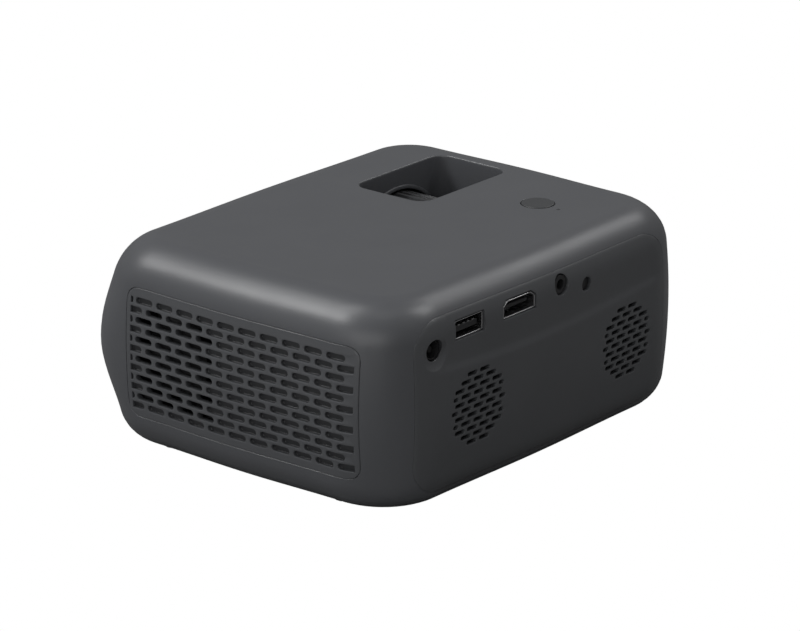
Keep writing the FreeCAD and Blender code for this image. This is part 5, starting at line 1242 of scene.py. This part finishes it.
def baseCover():
    # the wrapped form below the parting line, with the tray's cut, four screw sinks and four foot seats
    outer = formWrap(0, 0, base["heights"])
    inner = formWrap(form["wall"], 0, base["innerHeights"])
    last, bottom = outer.shape[1] - 1, outer.shape[0] - 1
    noseColumns = (frontLeftArc + base["trayTrim"][0], frontRightArc + base["trayTrim"][1])
    sinks = [(1, bottom, *screwColumns(outer, x, y)) for x, y in screw["places"]]
    keep = np.ones((bottom, last + 1), bool)
    for r0, r1, c0, c1 in [(0, 2, *noseColumns), *sinks]:
        keep[r0:r1, c0:c1] = False
    sheet = newSheet()
    addGrid(sheet, outer, True, keep)
    addGrid(sheet, inner, True, keep)
    tray = cutOpening(sheet, outer, inner, (0, 2), noseColumns, onFront, (0, 2),
                      base["tray"], base["trayCorner"], False)
    addRim(sheet, outer, inner, tray, noseColumns)
    for place, block in zip(screw["places"], sinks):
        addScrewSink(sheet, outer, inner, place, block)
    for inset, wrapped in ((0, outer), (form["wall"], inner)):
        flatRing = formWrap(inset, wrap["brimReach"], [form["underside"] + inset])[0]
        addGrid(sheet, np.stack([wrapped[-1], flatRing]), True)
    for x, y in feet["places"]:
        addFootSeat(sheet, x, y)
    return makePiece("baseCover", sheet, "housing", "base_plastic", ["base_cover"],
                     (form["underside"], base["footTop"], form["underside"] + form["wall"]))


upperShell()
ventGrille()
rearPanel()
makePowerButton()
focusRing()
lensTrim()
footPads()
makeLensPanel()
trayBezel()
socketShells()
socketTongues()
baseCover()
caseScrews()

stage = {"floor": 3.0, "floorTone": 0.15, "sky": 0.185, "aim": (0, 0, 0.035)}
# place, width and power of each soft lamp; all look at the middle of the body
lamps = {"overFront": ((0.5, -0.84, 1.02), 0.45, 3.0), "overCorner": ((0.72, -0.7, 1.05), 0.4, 4.8),
         "overHigh": ((0.25, -0.6, 1.25), 0.5, 3.5), "overFar": ((-0.63, 0.5, 1.15), 0.4, 3.6),
         "farStrip": ((-1.04, 0.0, 0.95), 0.45, 1.8), "overhead": ((0.22, 0.2, 1.38), 0.35, 0.6),
         "sideSoft": ((1.35, -0.3, 0.55), 0.8, 1.2), "cornerLow": ((1.25, 0.5, 0.3), 1.1, 5.6)}


def stageFloor():
    # a floor that the camera sees as plain white, while other rays see its darker tone
    mesh = bpy.data.meshes.new("studioFloor")
    half = stage["floor"]
    corners = [(-half, -half, 0), (half, -half, 0), (half, half, 0), (-half, half, 0)]
    mesh.from_pydata(corners, [], [(0, 1, 2, 3)])
    floor = bpy.data.objects.new("studioFloor", mesh)
    scene.collection.objects.link(floor)
    material = bpy.data.materials.new("studioFloor")
    material.use_nodes = True
    tree = material.node_tree
    shader = tree.nodes["Principled BSDF"]
    shader.inputs["Base Color"].default_value = (stage["floorTone"],) * 3 + (1,)
    shader.inputs["Roughness"].default_value = 0.9
    glow = tree.nodes.new("ShaderNodeEmission")
    path = tree.nodes.new("ShaderNodeLightPath")
    mix = tree.nodes.new("ShaderNodeMixShader")
    tree.links.new(path.outputs["Is Camera Ray"], mix.inputs[0])
    tree.links.new(shader.outputs[0], mix.inputs[1])
    tree.links.new(glow.outputs[0], mix.inputs[2])
    tree.links.new(mix.outputs[0], tree.nodes["Material Output"].inputs["Surface"])
    mesh.materials.append(material)


def studioLight():
    # an even sky plus large soft lamps
    world = bpy.data.worlds.new("studio")
    scene.world = world
    world.use_nodes = True
    tree = world.node_tree
    sky = tree.nodes["Background"]
    sky.inputs["Color"].default_value = (1, 1, 1, 1)
    sky.inputs["Strength"].default_value = stage["sky"]
    white = tree.nodes.new("ShaderNodeBackground")
    white.inputs["Color"].default_value = (1, 1, 1, 1)
    path = tree.nodes.new("ShaderNodeLightPath")
    mix = tree.nodes.new("ShaderNodeMixShader")
    tree.links.new(path.outputs["Is Camera Ray"], mix.inputs[0])
    tree.links.new(sky.outputs[0], mix.inputs[1])
    tree.links.new(white.outputs[0], mix.inputs[2])
    tree.links.new(mix.outputs[0], tree.nodes["World Output"].inputs["Surface"])
    goal = Vector(stage["aim"])
    for name, (place, width, power) in lamps.items():
        data = bpy.data.lights.new(name, "AREA")
        data.size = width
        data.energy = power
        softLamp = bpy.data.objects.new(name, data)
        softLamp.location = place
        softLamp.rotation_euler = (goal - Vector(place)).to_track_quat("-Z", "Y").to_euler()
        scene.collection.objects.link(softLamp)


stageFloor()
studioLight()
scene.view_settings.view_transform = "Standard"
print("stage set")
